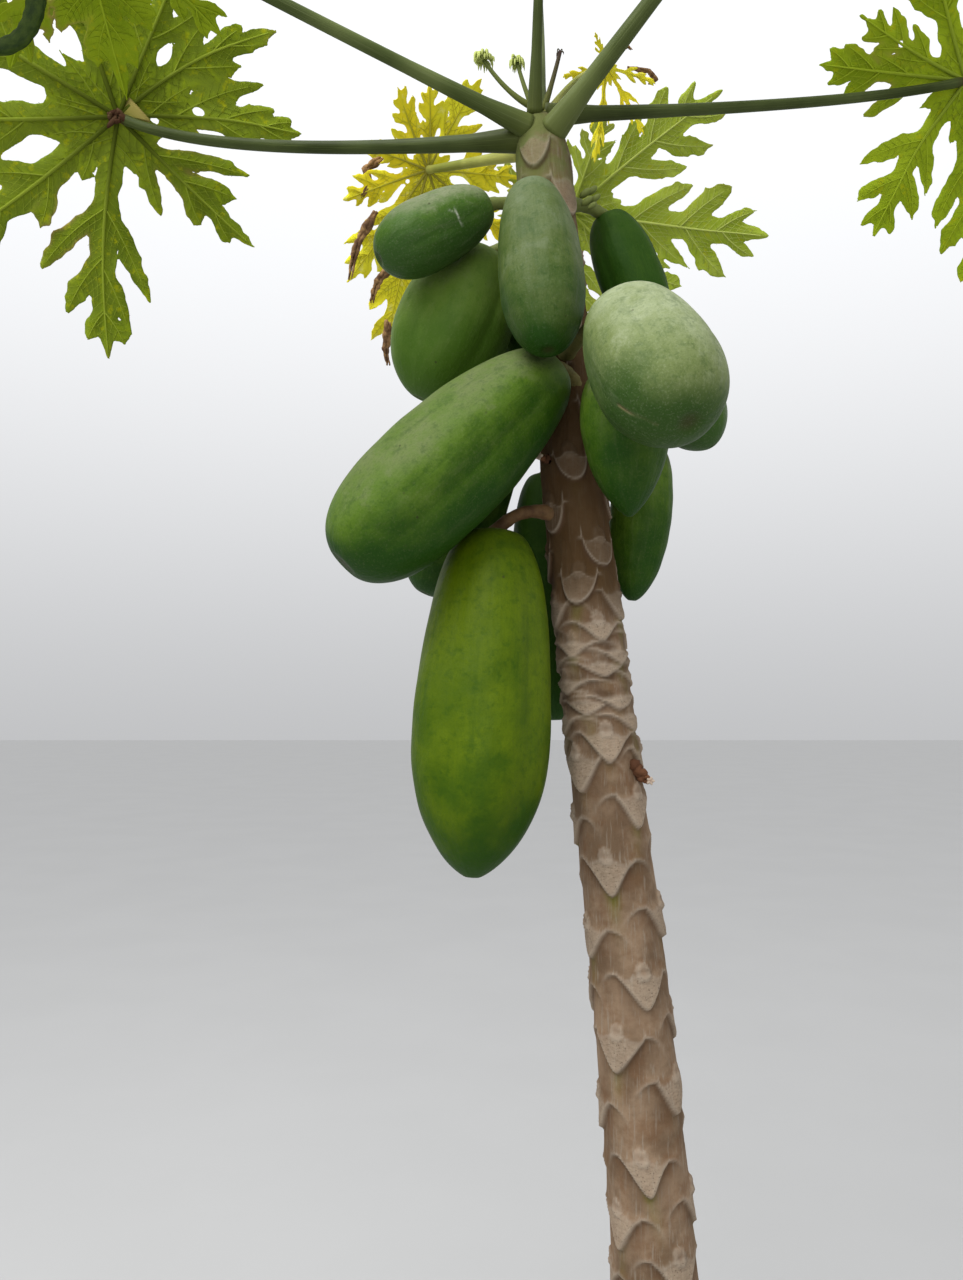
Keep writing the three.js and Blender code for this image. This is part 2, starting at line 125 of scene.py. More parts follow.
# Leaves: the foot is a height and a turn on the trunk, then come the stalk's bend and the hub where the lobes
# meet. faces is where the upper side looks, points is where the middle lobe goes, and a lobe is a turn and a
# share of the leaf's length.
LEAVES = {
    "left": dict(
        foot=(2.232, -88), bend=(-0.616, 0.086, 2.252), hub=(-0.760, 0.120, 2.340),
        radius=0.0088, length=0.400,
        faces=(-0.31, 0.83, 0.45), points=(-1, -0.1, 0.32), droop=0.12, width=1.1, colour="green",
        lobes=[(-154, 0.62), (-99, 0.86), (-52, 0.95), (-20, 1), (12, 1),
               (57, 0.85), (101, 0.72), (135, 0.65), (165, 0.66)],
    ),
    "back": dict(
        foot=(2.200, 165), bend=(-0.115, 0.180, 2.330), hub=(-0.090, 0.350, 2.322),
        radius=0.008, length=0.330,
        faces=(0.3, 0.75, 0.58), points=(0.95, -0.3, -0.1), droop=0.12, width=1.3, colour="lit",
        lobes=[(-148, 0.45), (-108, 0.47), (-65, 0.47), (-33, 0.87), (8, 1),
               (46, 0.88), (88, 0.72), (131, 0.5), (173, 0.42)],
    ),
    "upper_right": dict(
        foot=(2.230, 33), bend=(0.001, -0.170, 2.360), hub=(0.235, -0.312, 2.598),
        radius=0.0096, length=0.350,
        faces=(0.25, -0.1, 0.95), points=(0.8, -0.59, 0), droop=0.3, width=1,
        colour="green", lobes=EVEN_LOBES,
    ),
    "yellow": dict(
        foot=(2.226, -145), bend=(-0.280, 0.160, 2.290), hub=(-0.324, 0.250, 2.336),
        radius=0.0075, length=0.260,
        faces=(-0.25, 0.75, 0.6), points=(-0.75, 0.1, -0.65), droop=0.2, width=1.2, colour="yellow",
        lobes=[(-139, 0.56), (-107, 0.64), (-72, 0.62), (-35, 1.06), (-11, 0.8),
               (21, 0.55), (56, 0.4), (104, 0.47),
               (127, 0.46), (158, 0.58)],
    ),
    "upper_left": dict(
        foot=(2.238, -42), bend=(-0.421, -0.110, 2.303), hub=(-0.690, -0.200, 2.390),
        radius=0.0082, length=0.330,
        faces=(-0.06, -0.07, 1), points=(-0.94, -0.33, 0), droop=0.3, width=1, colour="bright",
        lobes=[(-139, 0.69), (-100, 0.84), (-68, 0.79), (-35, 0.95), (0, 1),
               (38, 0.98), (78, 0.94), (115, 0.85), (152, 0.66)],
    ),
    "right": dict(
        foot=(2.266, 94), bend=(0.281, 0.072, 2.324), hub=(0.444, 0.100, 2.380), radius=0.0078, length=0.340,
        faces=(0.1, 0.8, 0.55), points=(0.94, -0.1, 0.35), droop=0.14, width=1.22, colour="fresh",
        lobes=[(-154, 0.62), (-134, 0.53), (-100, 0.77), (-57, 0.85), (-12, 0.95),
               (31, 1), (63, 0.95), (95, 0.85), (135, 0.67)],
    ),
    "high_back": dict(
        foot=(2.244, -178), bend=(-0.142, 0.190, 2.760), hub=(-0.200, 0.400, 2.965),
        radius=0.0068, length=0.310,
        faces=(-0.12, -0.25, 0.95), points=(-0.3, 1, 0.2), droop=0.12, width=1,
        colour="green", lobes=EVEN_LOBES,
    ),
    "high_right": dict(
        foot=(2.248, 140), bend=(0.100, 0, 2.560), hub=(0.378, -0.040, 2.927), radius=0.0068, length=0.320,
        faces=(0.2, 0.25, 0.95), points=(0.8, 0.6, 0), droop=0.12, width=1, colour="green", lobes=EVEN_LOBES,
    ),
    "front": dict(
        foot=(2.256, -31), bend=(-0.168, -0.150, 2.530), hub=(-0.158, -0.290, 2.800),
        radius=0.0054, length=0.280,
        faces=(-0.05, -0.35, 0.92), points=(-0.2, -0.95, -0.3), droop=0.26, width=1,
        colour="green", lobes=EVEN_LOBES,
    ),
    "wilted": dict(
        foot=(2.262, 78), bend=(-0.110, 0.062, 2.372), hub=(-0.061, 0.120, 2.414), radius=0.004, length=0.100,
        faces=(0.2, 0.7, 0.7), points=(0.7, 0.3, -0.5), droop=0.5, width=0.55, colour="yellow", holes=0,
        lobes=[(-151, 0.5), (-29, 0.8), (11, 1.05), (52, 1.15), (130, 0.65)],
    ),
}
# How much the droop differs from lobe to lobe, and how far a blade folds up beside its ribs
DROOP_SPREAD = 0.25
BLADE_FOLD = 0.12
FOLD_ROUNDING = 0.004
BLADE_THICKNESS = 0.0007
# Sizes that the patterns of a blade were chosen for; other blades scale them
COMMON_LENGTH = 0.35
LONGEST_LENGTH = 0.4
# A lobe takes no more room to its side than this gap between ribs gives, in radians
WIDEST_GAP = 1.2

# A stalk's thickness along its length, as shares of its own radius
STALK_PROFILE = [
    (0, 1.95), (0.05, 1.65), (0.12, 1.24), (0.3, 1), (0.48, 0.93),
    (0.66, 0.87), (0.8, 0.83), (0.92, 0.79), (1, 0.76),
]
STALK_ROWS = 120
STALK_AROUND = 22

# The stalks whose skin is a deeper green
SHADED_STALKS = ("left", "right", "front")

# Side lobes of a lobe, as shares of its length: where the vein leaves the rib, the tip's place, half the width
SIDE_LOBES = [
    dict(leaves=0.07, along=0.24, across=0.150, half=0.034),
    dict(leaves=0.35, along=0.64, across=0.225, half=0.050),
    dict(leaves=0.57, along=0.81, across=0.150, half=0.040),
    dict(leaves=0.76, along=0.93, across=0.085, half=0.027),
]
# The lobes of the left leaf that hang in plain view have shapes of their own. sway is how far the rib bows
# out, and each row is where a vein leaves the rib, its tip along and across, and half the side lobe's width.
OWN_LOBES = {
    ("left", -99): dict(sway=0.042, sides=[
        (0.08, 0.22, 0.195, 0.034), (0.36, 0.66, 0.255, 0.048),
        (0.56, 0.82, 0.160, 0.040), (0.78, 0.93, 0.090, 0.026),
        (0.10, 0.22, -0.130, 0.034), (0.36, 0.71, -0.190, 0.044),
        (0.60, 0.85, -0.100, 0.036), (0.78, 0.92, -0.080, 0.026),
    ]),
    ("left", -154): dict(sway=0.010, sides=[
        (0.27, 0.73, -0.305, 0.060), (0.46, 0.75, -0.150, 0.064), (0.10, 0.25, -0.120, 0.034),
        (0.18, 0.50, 0.240, 0.052), (0.48, 0.72, 0.130, 0.052), (0.70, 0.88, 0.075, 0.034),
    ]),
    ("left", -52): dict(sway=-0.020, sides=[
        (0.12, 0.27, -0.085, 0.030), (0.34, 0.50, -0.125, 0.036),
        (0.56, 0.76, -0.110, 0.032), (0.78, 0.93, -0.070, 0.024),
        (0.10, 0.26, 0.100, 0.034), (0.35, 0.62, 0.170, 0.044),
        (0.57, 0.81, 0.120, 0.036), (0.78, 0.93, 0.070, 0.025),
    ]),
    ("upper_left", -100): dict(sway=0.012, sides=[
        (0.05, 0.30, 0.110, 0.075), (0.20, 0.50, 0.160, 0.085),
        (0.42, 0.66, 0.215, 0.085), (0.60, 0.84, 0.095, 0.065),
        (0.05, 0.30, -0.110, 0.075), (0.20, 0.48, -0.150, 0.085),
        (0.40, 0.68, -0.190, 0.080), (0.58, 0.84, -0.090, 0.060),
    ]),
    ("left", 165): dict(sway=-0.040, sides=[
        (0.16, 0.42, -0.165, 0.045), (0.30, 0.77, -0.205, 0.068),
        (0.56, 0.84, -0.095, 0.048), (0.78, 0.95, -0.055, 0.030),
        (0.20, 0.45, 0.110, 0.045), (0.50, 0.78, 0.120, 0.045), (0.74, 0.93, 0.060, 0.028),
    ]),
    ("left", 135): dict(sway=-0.060, sides=[
        (0.12, 0.34, -0.120, 0.040), (0.38, 0.76, -0.175, 0.056), (0.62, 0.86, -0.070, 0.038),
        (0.14, 0.40, 0.150, 0.044), (0.44, 0.74, 0.110, 0.050), (0.72, 0.92, 0.050, 0.028),
    ]),
}
# Half the width of the leaf along a rib, as shares of the rib's length
RIB_LAMINA = [
    (0, 0.030), (0.1, 0.042), (0.3, 0.046), (0.45, 0.054), (0.56, 0.044),
    (0.66, 0.052), (0.77, 0.040), (0.88, 0.034), (1, 0),
]
# Veins that stand out: tube rows, radius where they begin and end, how far they run, and how pale they start
VEIN_TUBES = {"rib": (40, 0.0036, 0.0007, 0.95, 0), "side": (14, 0.0013, 0.0004, 0.86, 0.45)}
# Fine veins that leave a rib or a side vein: the gap between them and their greatest length
FINE_VEINS = {"rib": (0.013, 0.075), "side": (0.012, 0.040)}

# Fruit: a stalk leaves the trunk at a height and a turn, the fruit hangs from its top to its tip
FRUITS = {
    "top_left": dict(
        start=(2.138, -85), rise=0.008, top=(-0.231, -0.044, 2.124), tip=(-0.365, -0.073, 2.038),
        radius=0.0442, belly=0.6, shoulder=0.36, point=0.46, finish="dark",
    ),
    "top_front": dict(
        start=(2.118, 5), rise=0.018, top=(-0.181, -0.096, 2.118), tip=(-0.165, -0.150, 1.894),
        radius=0.0496, belly=0.57, shoulder=0.35, point=0.45, finish="blue",
    ),
    "mid_left": dict(
        start=(2.085, -120), rise=0.016, top=(-0.229, 0.032, 2.101), tip=(-0.323, 0.050, 1.905),
        radius=0.0736, belly=0.55, shoulder=0.4, point=0.55, ridge=0.11, finish="soft",
    ),
    "long_left": dict(
        start=(1.896, 22), rise=0.010, top=(-0.147, -0.063, 1.913), tip=(-0.398, -0.116, 1.658),
        radius=0.0750, belly=0.64, shoulder=0.38, point=0.4, ridge=0.07, finish="mid",
    ),
    "back_left": dict(
        start=(1.862, -130), rise=0.010, top=(-0.215, 0.090, 1.875), tip=(-0.317, 0.080, 1.648),
        radius=0.0569, belly=0.6, shoulder=0.36, point=0.5, finish="mid",
    ),
    "lowest": dict(
        start=(1.735, -58), rise=0.026, top=(-0.225, -0.030, 1.719), tip=(-0.251, -0.060, 1.296),
        radius=0.0811, belly=0.63, shoulder=0.317, point=0.69, ridge=0.07, finish="ripe",
    ),
    "top_right": dict(
        start=(2.150, 112), rise=0.010, top=(-0.072, 0.060, 2.166), tip=(-0.001, 0.075, 1.988),
        radius=0.0421, belly=0.5, shoulder=0.36, point=0.5, ridge=0.09, finish="shaded",
    ),
    "front_right": dict(
        start=(1.934, 2), rise=0.014, top=(-0.094, -0.180, 1.932), tip=(-0.039, -0.290, 1.771),
        radius=0.0655, belly=0.58, shoulder=0.39, point=0.42, finish="pale",
    ),
    "under_right": dict(
        start=(1.878, 48), rise=0.0, top=(-0.078, -0.112, 1.900), tip=(-0.066, -0.086, 1.719),
        radius=0.0520, belly=0.36, shoulder=0.4, point=0.8, finish="mid",
    ),
    "low_right": dict(
        start=(1.838, 112), rise=0.010, top=(-0.019, 0.055, 1.851), tip=(-0.040, 0.070, 1.637),
        radius=0.0405, belly=0.45, shoulder=0.36, point=0.6, finish="mid",
    ),
    "far_right": dict(
        start=(1.950, 98), rise=0.008, top=(-0.013, 0.030, 1.962), tip=(0.058, 0.020, 1.832),
        radius=0.0481, belly=0.55, shoulder=0.36, point=0.6, finish="dark",
    ),
    "low_back": dict(
        start=(1.815, -175), rise=0.012, top=(-0.151, 0.120, 1.827), tip=(-0.138, 0.120, 1.477),
        radius=0.0567, belly=0.6, shoulder=0.36, point=0.6, finish="shaded",
    ),
    "top_back": dict(
        start=(2.108, -165), rise=0.014, top=(-0.172, 0.110, 2.121), tip=(-0.170, 0.150, 1.936),
        radius=0.0539, belly=0.6, shoulder=0.36, point=0.6, finish="blue",
    ),
    "mid_back": dict(
        start=(2.018, 152), rise=0.014, top=(-0.071, 0.135, 2.033), tip=(-0.057, 0.150, 1.806),
        radius=0.0513, belly=0.6, shoulder=0.36, point=0.6, finish="blue",
    ),
}
# A healed crack or a dried drop: its fruit, its kind, the places that it runs through and how wide it is
BLEMISHES = [
    (
        "front_right", "crack",
        [(-0.106, -0.277, 1.793), (-0.096, -0.284, 1.784), (-0.082, -0.290, 1.777), (-0.071, -0.290, 1.771)],
        0.0015,
    ),
    ("top_left", "drop", [(-0.272, -0.096, 2.091), (-0.268, -0.093, 2.081), (-0.263, -0.086, 2.073)], 0.0009),
    ("top_left", "drop", [(-0.279, -0.099, 2.086), (-0.268, -0.095, 2.084)], 0.0008),
]
TOP_POWER = 2
TIP_POWER = 2.2
FRUIT_ROWS = 120
FRUIT_AROUND = 128
FRUIT_STALK_RADIUS = 0.0085
FRUIT_STALK_ROWS = 40
# Stalks of fruit below this height are corky, and over this span they turn young and green
CORKY_BELOW = 1.80
GREENING_SPAN = 0.25

# The shrivelled tips: how wide each is and the places that it hangs through
WITHERED_TIPS = [
    (0.0085,
     [(-0.405, 0.240, 2.262), (-0.428, 0.240, 2.220), (-0.439, 0.240, 2.189), (-0.443, 0.240, 2.156)]),
    (0.0080,
     [(-0.378, 0.250, 2.178), (-0.398, 0.250, 2.160), (-0.407, 0.250, 2.139), (-0.411, 0.250, 2.122)]),
    (0.0080,
     [(-0.385, 0.250, 2.092), (-0.387, 0.250, 2.063), (-0.389, 0.250, 2.044), (-0.384, 0.250, 2.023)]),
    (0.0070,
     [(-0.395, 0.240, 2.350), (-0.420, 0.240, 2.330), (-0.414, 0.240, 2.308), (-0.425, 0.240, 2.286)]),
    (0.0050, [(-0.030, 0.120, 2.412), (0.000, 0.120, 2.408), (0.011, 0.120, 2.395), (0.000, 0.120, 2.388)]),
    (0.0040, [(-0.044, 0.120, 2.434), (-0.031, 0.120, 2.446), (-0.024, 0.120, 2.440)]),
]
# The curled lobe's middle line and its width
CURL_LINE = [(-0.752, -0.150, 2.340), (-0.743, -0.150, 2.243), (-0.808, -0.150, 2.251)]
CURL_WIDTH = 0.024
CURL_ROWS = 39
CURL_AROUND = 24
# The left leaf's hub: its strands and how wide they are, and the thin skin's strands
HUB_STRANDS = 16
HUB_STRAND_RADIUS = 0.0036
HUB_SKIN_STRANDS = 17
HUB_SKIN_RADIUS = 0.0026
# Dry stubs on the trunk as places to run through and a width, the pale ends they have, and the green buds
DRY_STUBS = [
    ([(-0.062, -0.030, 1.432), (-0.048, -0.034, 1.420), (-0.038, -0.034, 1.411)], 0.0075),
    ([(-0.060, -0.030, 1.426), (-0.046, -0.030, 1.412), (-0.037, -0.032, 1.405)], 0.0060),
    ([(-0.158, -0.030, 1.802), (-0.170, -0.042, 1.803)], 0.0055),
    ([(-0.075, -0.030, 1.752), (-0.070, -0.046, 1.762)], 0.0050),
]
PALE_ENDS = [
    ((-0.037, -0.036, 1.409), 0.0050), ((-0.171, -0.047, 1.803), 0.0060), ((-0.070, -0.048, 1.764), 0.0050),
]
BUDS = [
    ((-0.112, 0.010, 2.160), 0.014), ((-0.103, 0.010, 2.164), 0.013), ((-0.098, 0.008, 2.153), 0.012),
    ((-0.110, 0.008, 2.148), 0.014), ((-0.102, 0.006, 2.142), 0.011),
]

# Young growth at the stem's tip: a thin stalk's foot, bend and tip, and the size of the leaf folded on it
YOUNG = {
    "young_leaf_left": dict(
        foot=(-0.170, 0, 2.275), bend=(-0.205, 0.002, 2.292), tip=(-0.237, 0.004, 2.343),
        fold=0.012, long=0.011, lobes=21,
    ),
    "young_leaf_mid": dict(
        foot=(-0.166, 0.014, 2.270), bend=(-0.180, 0.028, 2.309), tip=(-0.192, 0.034, 2.360),
        fold=0.010, long=0.014, lobes=19,
    ),
    "bare_young_stalk": dict(
        foot=(-0.160, 0.002, 2.272), bend=(-0.148, 0.008, 2.310), tip=(-0.136, 0.014, 2.362),
        fold=0.005, long=0.011, lobes=5,
    ),
}
YOUNG_STALK_RADIUS = 0.0034

# The camera stands where the photo was taken from and looks up a little
CAMERA_PLACE = (-0.240, -1.200, 1.500)
CAMERA_PITCH = math.atan(65 / 960)
CAMERA_LENS = 27
CAMERA_SENSOR = 36
# Soft lights: place, target, side of the square and power
LIGHTS = {
    "key_light": ((-1.9, -1.9, 5.2), (-0.1, 0, 1.9), 3.2, 205),
    "front_light": ((-0.6, -4.2, 2.6), (-0.1, 0, 1.8), 3.0, 32),
}


# Small helpers for points and curves


def band(value, wide):
    """One where a value is nought, fading to both sides over a width."""
    return np.exp(-((value / wide) ** 2))


def directions(places):
    """Where a line of places goes at each of them."""
    ahead = np.gradient(places, axis=0)
    return ahead / np.linalg.norm(ahead, axis=1)[:, None]


def unit(vector):
    """The same direction with a length of one."""
    vector = np.asarray(vector, float)
    return vector / np.linalg.norm(vector)


def smooth_step(value):
    """Nought to one with soft ends."""
    value = np.clip(value, 0, 1)
    return value * value * (3 - 2 * value)


def soft_noise(points, size, seed):
    """A smooth number from about -1 to 1 for each point, with bumps about as large as size."""
    points = np.atleast_2d(points)
    rng = np.random.default_rng(seed)
    count = 9
    waves = rng.normal(size=(points.shape[1], count)) * (2.4 / size)
    phases = rng.uniform(0, FULL_TURN, count)
    return np.sin(points @ waves + phases).sum(axis=1) / 4


def along_curve(foot, bend, tip, share):
    """Places on a curve that leaves the foot towards the bend and reaches the tip from it."""
    share = np.asarray(share, float)[..., None]
    foot, bend, tip = (np.asarray(p, float) for p in (foot, bend, tip))
    return (1 - share) ** 2 * foot + 2 * share * (1 - share) * bend + share**2 * tip


def even_curve(foot, bend, tip, count):
    """Places at even steps of length on such a curve."""
    fine = along_curve(foot, bend, tip, np.linspace(0, 1, 400))
    gone = np.concatenate([[0], np.cumsum(np.linalg.norm(np.diff(fine, axis=0), axis=1))])
    wanted = np.linspace(0, gone[-1], count)
    return np.stack([np.interp(wanted, gone, fine[:, axis]) for axis in range(3)], 1)


def tube_points(centres, radii, turns):
    """Rings of points round a line of centres: one row for each centre, one column for each turn."""
    ahead = directions(centres)
    reference = np.array([0.0, 1.0, 0.0]) if abs(ahead[:, 1].mean()) < 0.8 else np.array([1.0, 0.0, 0.0])
    side = np.cross(ahead, reference)
    side /= np.linalg.norm(side, axis=1)[:, None]
    out = np.cross(side, ahead)
    ring = np.cos(turns)[None, :, None] * side[:, None] + np.sin(turns)[None, :, None] * out[:, None]
    return centres[:, None] + radii[:, None, None] * ring


def trunk_middle(height):
    """The place of the trunk's middle across, at each height."""
    xs, zs = np.array(TRUNK_AXIS).T
    slopes = np.gradient(xs, zs)
    height = np.asarray(height, float)
    i = np.clip(np.searchsorted(zs, height) - 1, 0, len(zs) - 2)
    span = zs[i + 1] - zs[i]
    t = (height - zs[i]) / span
    start = (2 * t**3 - 3 * t**2 + 1) * xs[i] + (t**3 - 2 * t**2 + t) * span * slopes[i]
    return start + (3 * t**2 - 2 * t**3) * xs[i + 1] + (t**3 - t**2) * span * slopes[i + 1]


def trunk_radius(height):
    """The trunk's radius at each height, with its root flare and its round tip."""
    height = np.asarray(height, float)
    straight = TRUNK_FOOT_RADIUS - TRUNK_TAPER * height + FLARE_RADIUS * np.exp(-height / FLARE_HEIGHT)
    into_dome = np.maximum(0, (height - TRUNK_TIP_HEIGHT + TRUNK_DOME_HEIGHT) / TRUNK_DOME_HEIGHT)
    return straight * np.sqrt(np.maximum(0.0, 1 - into_dome**2))


def on_trunk(height, turn, share):
    """A place at a share of the trunk's radius; a turn of nought is the front, and it grows to the right."""
    turn = math.radians(turn)
    reach = float(trunk_radius(height)) * share
    return np.array([float(trunk_middle(height)) + math.sin(turn) * reach, -math.cos(turn) * reach, height])


# Making pieces


def rolled_skin(name, around, along, shape):
    """A closed skin rolled up from a grid. shape takes shares around and along and gives places and marks."""
    bpy.ops.object.select_all(action="DESELECT")
    bpy.ops.mesh.primitive_grid_add(x_subdivisions=around, y_subdivisions=along, size=1)
    piece = bpy.context.active_object
    piece.name = piece.data.name = name
    flat = np.zeros(len(piece.data.vertices) * 3, np.float32)
    piece.data.vertices.foreach_get("co", flat)
    flat = flat.reshape(-1, 3)
    places, marks = shape(flat[:, 0] + 0.5, flat[:, 1] + 0.5)
    piece.data.vertices.foreach_set("co", places.astype(np.float32).ravel())
    add_marks(piece, marks)
    close_skin(piece)
    return piece


def add_marks(piece, marks):
    """Keeps a number for each point of a piece under a name that its material reads."""
    for name, values in marks.items():
        mark = piece.data.attributes.new(name, "FLOAT", "POINT")
        mark.data.foreach_set("value", np.asarray(values, np.float32))


def pick(piece):
    """Makes a piece the active one and the only one chosen."""
    bpy.ops.object.select_all(action="DESELECT")
    bpy.context.view_layer.objects.active = piece
    piece.select_set(True)


def close_skin(piece):
    """Joins a skin's seam and poles and turns its faces outwards."""
    pick(piece)
    bpy.ops.object.mode_set(mode="EDIT")
    bpy.ops.mesh.select_all(action="SELECT")
    bpy.ops.mesh.remove_doubles(threshold=MERGE_DISTANCE)
    bpy.ops.mesh.normals_make_consistent(inside=False)
    bpy.ops.object.mode_set(mode="OBJECT")
    bpy.ops.object.shade_smooth()


def mesh_piece(name, places, faces, marks):
    """A smooth piece from an array of points, a list of faces and the marks of its points."""
    mesh = bpy.data.meshes.new(name)
    mesh.from_pydata(places.tolist(), [], faces)
    mesh.update()
    piece = bpy.data.objects.new(name, mesh)
    bpy.context.scene.collection.objects.link(piece)
    add_marks(piece, marks)
    pick(piece)
    bpy.ops.object.shade_smooth()
    return piece


def settle(piece, slot, materials, *nodes):
    """Gives a piece its finishes, the body it rides on and the plain solids that it stands for; the slot is
    not used.
    """
    for material in materials:
        piece.data.materials.append(material)
    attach(piece, BODY)
    if nodes:
        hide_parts(*nodes)


class TubeBundle:
    """Many thin closed tubes gathered into one mesh."""

    def __init__(self, sides):
        self.turns = np.arange(sides) * FULL_TURN / sides
        self.places = []
        self.faces = []
        self.marks = []
        self.count = 0

    def add(self, centres, radii, mark):
        """Adds one tube along a line of centres, closed at both ends, with a mark for each centre."""
        rows, sides = len(centres), len(self.turns)
        rings = tube_points(centres, radii, self.turns)
        row = np.arange(rows - 1)[:, None] * sides
        ring = np.arange(sides)
        after = (ring + 1) % sides
        quads = np.stack([row + ring, row + ring + sides, row + after + sides, row + after], -1).reshape(-1, 4)
        foot = rows * sides
        top = foot - sides
        first = np.stack([np.full(sides, foot), ring, after, after], -1)
        last = np.stack([np.full(sides, foot + 1), after + top, ring + top, ring + top], -1)
        self.places.append(np.concatenate([rings.reshape(-1, 3), [centres[0], centres[-1]]]))
        self.faces.append(np.concatenate([quads, first, last]) + self.count)
        self.marks.append(np.concatenate([np.repeat(mark, sides), [mark[0], mark[-1]]]))
        self.count += foot + 2

    def piece(self, name):
        """The gathered tubes as one piece, with their mark under the name along."""
        faces = [list(dict.fromkeys(face)) for face in np.concatenate(self.faces).tolist()]
        return mesh_piece(name, np.concatenate(self.places), faces, {"along": np.concatenate(self.marks)})


# Finishes


class Finish:
    """A material being made, with short ways to lay its patterns."""

    def __init__(self, name, roughness, specular):
        self.material = bpy.data.materials.new(name)
        self.material.use_nodes = True
        self.tree = self.material.node_tree
        self.shader = self.tree.nodes["Principled BSDF"]
        self.shader.inputs["Roughness"].default_value = roughness
        self.shader.inputs["Specular IOR Level"].default_value = specular
        self.where = self.tree.nodes.new("ShaderNodeTexCoord")

    def link(self, value, socket):
        """Puts a socket, a number or a colour into a socket."""
        if isinstance(value, bpy.types.NodeSocket):
            self.tree.links.new(value, socket)
        elif isinstance(value, (int, float)):
            socket.default_value = value
        else:
            socket.default_value = (*value[:3], 1) if socket.type == "RGBA" else value

    def node(self, kind, **values):
        """A new node with what goes into its sockets, whose names are written with low lines."""
        made = self.tree.nodes.new("ShaderNode" + kind)
        for socket, value in values.items():
            self.link(value, made.inputs[socket.replace("_", " ")])
        return made

    def stretched(self, stretch, space):
        """Coordinates scaled along each axis."""
        return self.node("Mapping", Scale=stretch, Vector=self.where.outputs[space]).outputs["Vector"]

    def noise(self, scale, detail=3.0, rough=0.5, stretch=(1, 1, 1), space="Object"):
        """Cloudy noise from nought to one."""
        places = self.stretched(stretch, space)
        return self.node("TexNoise", Scale=scale, Detail=detail, Roughness=rough, Vector=places).outputs["Fac"]

    def cells(self, scale, space="Object", feature="F1"):
        """The distance to scattered points, or to the edges between them."""
        made = self.node("TexVoronoi", Scale=scale, Vector=self.stretched((1, 1, 1), space))
        made.feature = feature
        return made.outputs["Distance"]

    def mark(self, name):
        """A number kept on the piece's points."""
        made = self.node("Attribute")
        made.attribute_name = name
        return made.outputs["Fac"]

    def upward(self):
        """How far a surface faces up: 1 for up, -1 for down."""
        return self.node("SeparateXYZ", Vector=self.node("NewGeometry").outputs["Normal"]).outputs["Z"]

    def span(self, value, low, high, bottom=0.0, top=1.0):
        """A value spread from low and high to bottom and top, and held there."""
        made = self.node("MapRange", Value=value, From_Min=low, From_Max=high, To_Min=bottom, To_Max=top)
        made.interpolation_type = "SMOOTHSTEP"
        return made.outputs["Result"]

    def maths(self, kind, first, second):
        """Two numbers put together."""
        made = self.node("Math")
        made.operation = kind
        self.link(first, made.inputs[0])
        self.link(second, made.inputs[1])
        return made.outputs[0]

    def times(self, first, second):
        """One number times another."""
        return self.maths("MULTIPLY", first, second)

    def plus(self, first, second):
        """One number and another."""
        return self.maths("ADD", first, second)

    def less(self, first, second):
        """One number less another."""
        return self.maths("SUBTRACT", first, second)

    def mix(self, share, first, second):
        """One colour going over into another by a share."""
        made = self.node("Mix")
        made.data_type = "RGBA"
        self.link(share, made.inputs["Factor"])
        self.link(first, made.inputs[6])
        self.link(second, made.inputs[7])
        return made.outputs[2]

    def lay(self, skin, colour, share, strength):
        """A colour laid over a skin where a share says so, by no more than a strength."""
        return self.mix(self.times(share, strength), skin, colour)

    def colour(self, value):
        """The surface colour."""
        self.link(value, self.shader.inputs["Base Color"])

    def gloss(self, value):
        """A roughness that follows a pattern."""
        self.link(value, self.shader.inputs["Roughness"])

    def bumps(self, height, distance, strength):
        """Fine relief from a height pattern, with its depth in metres."""
        made = self.node("Bump", Strength=strength, Distance=distance, Height=height)
        self.tree.links.new(made.outputs["Normal"], self.shader.inputs["Normal"])


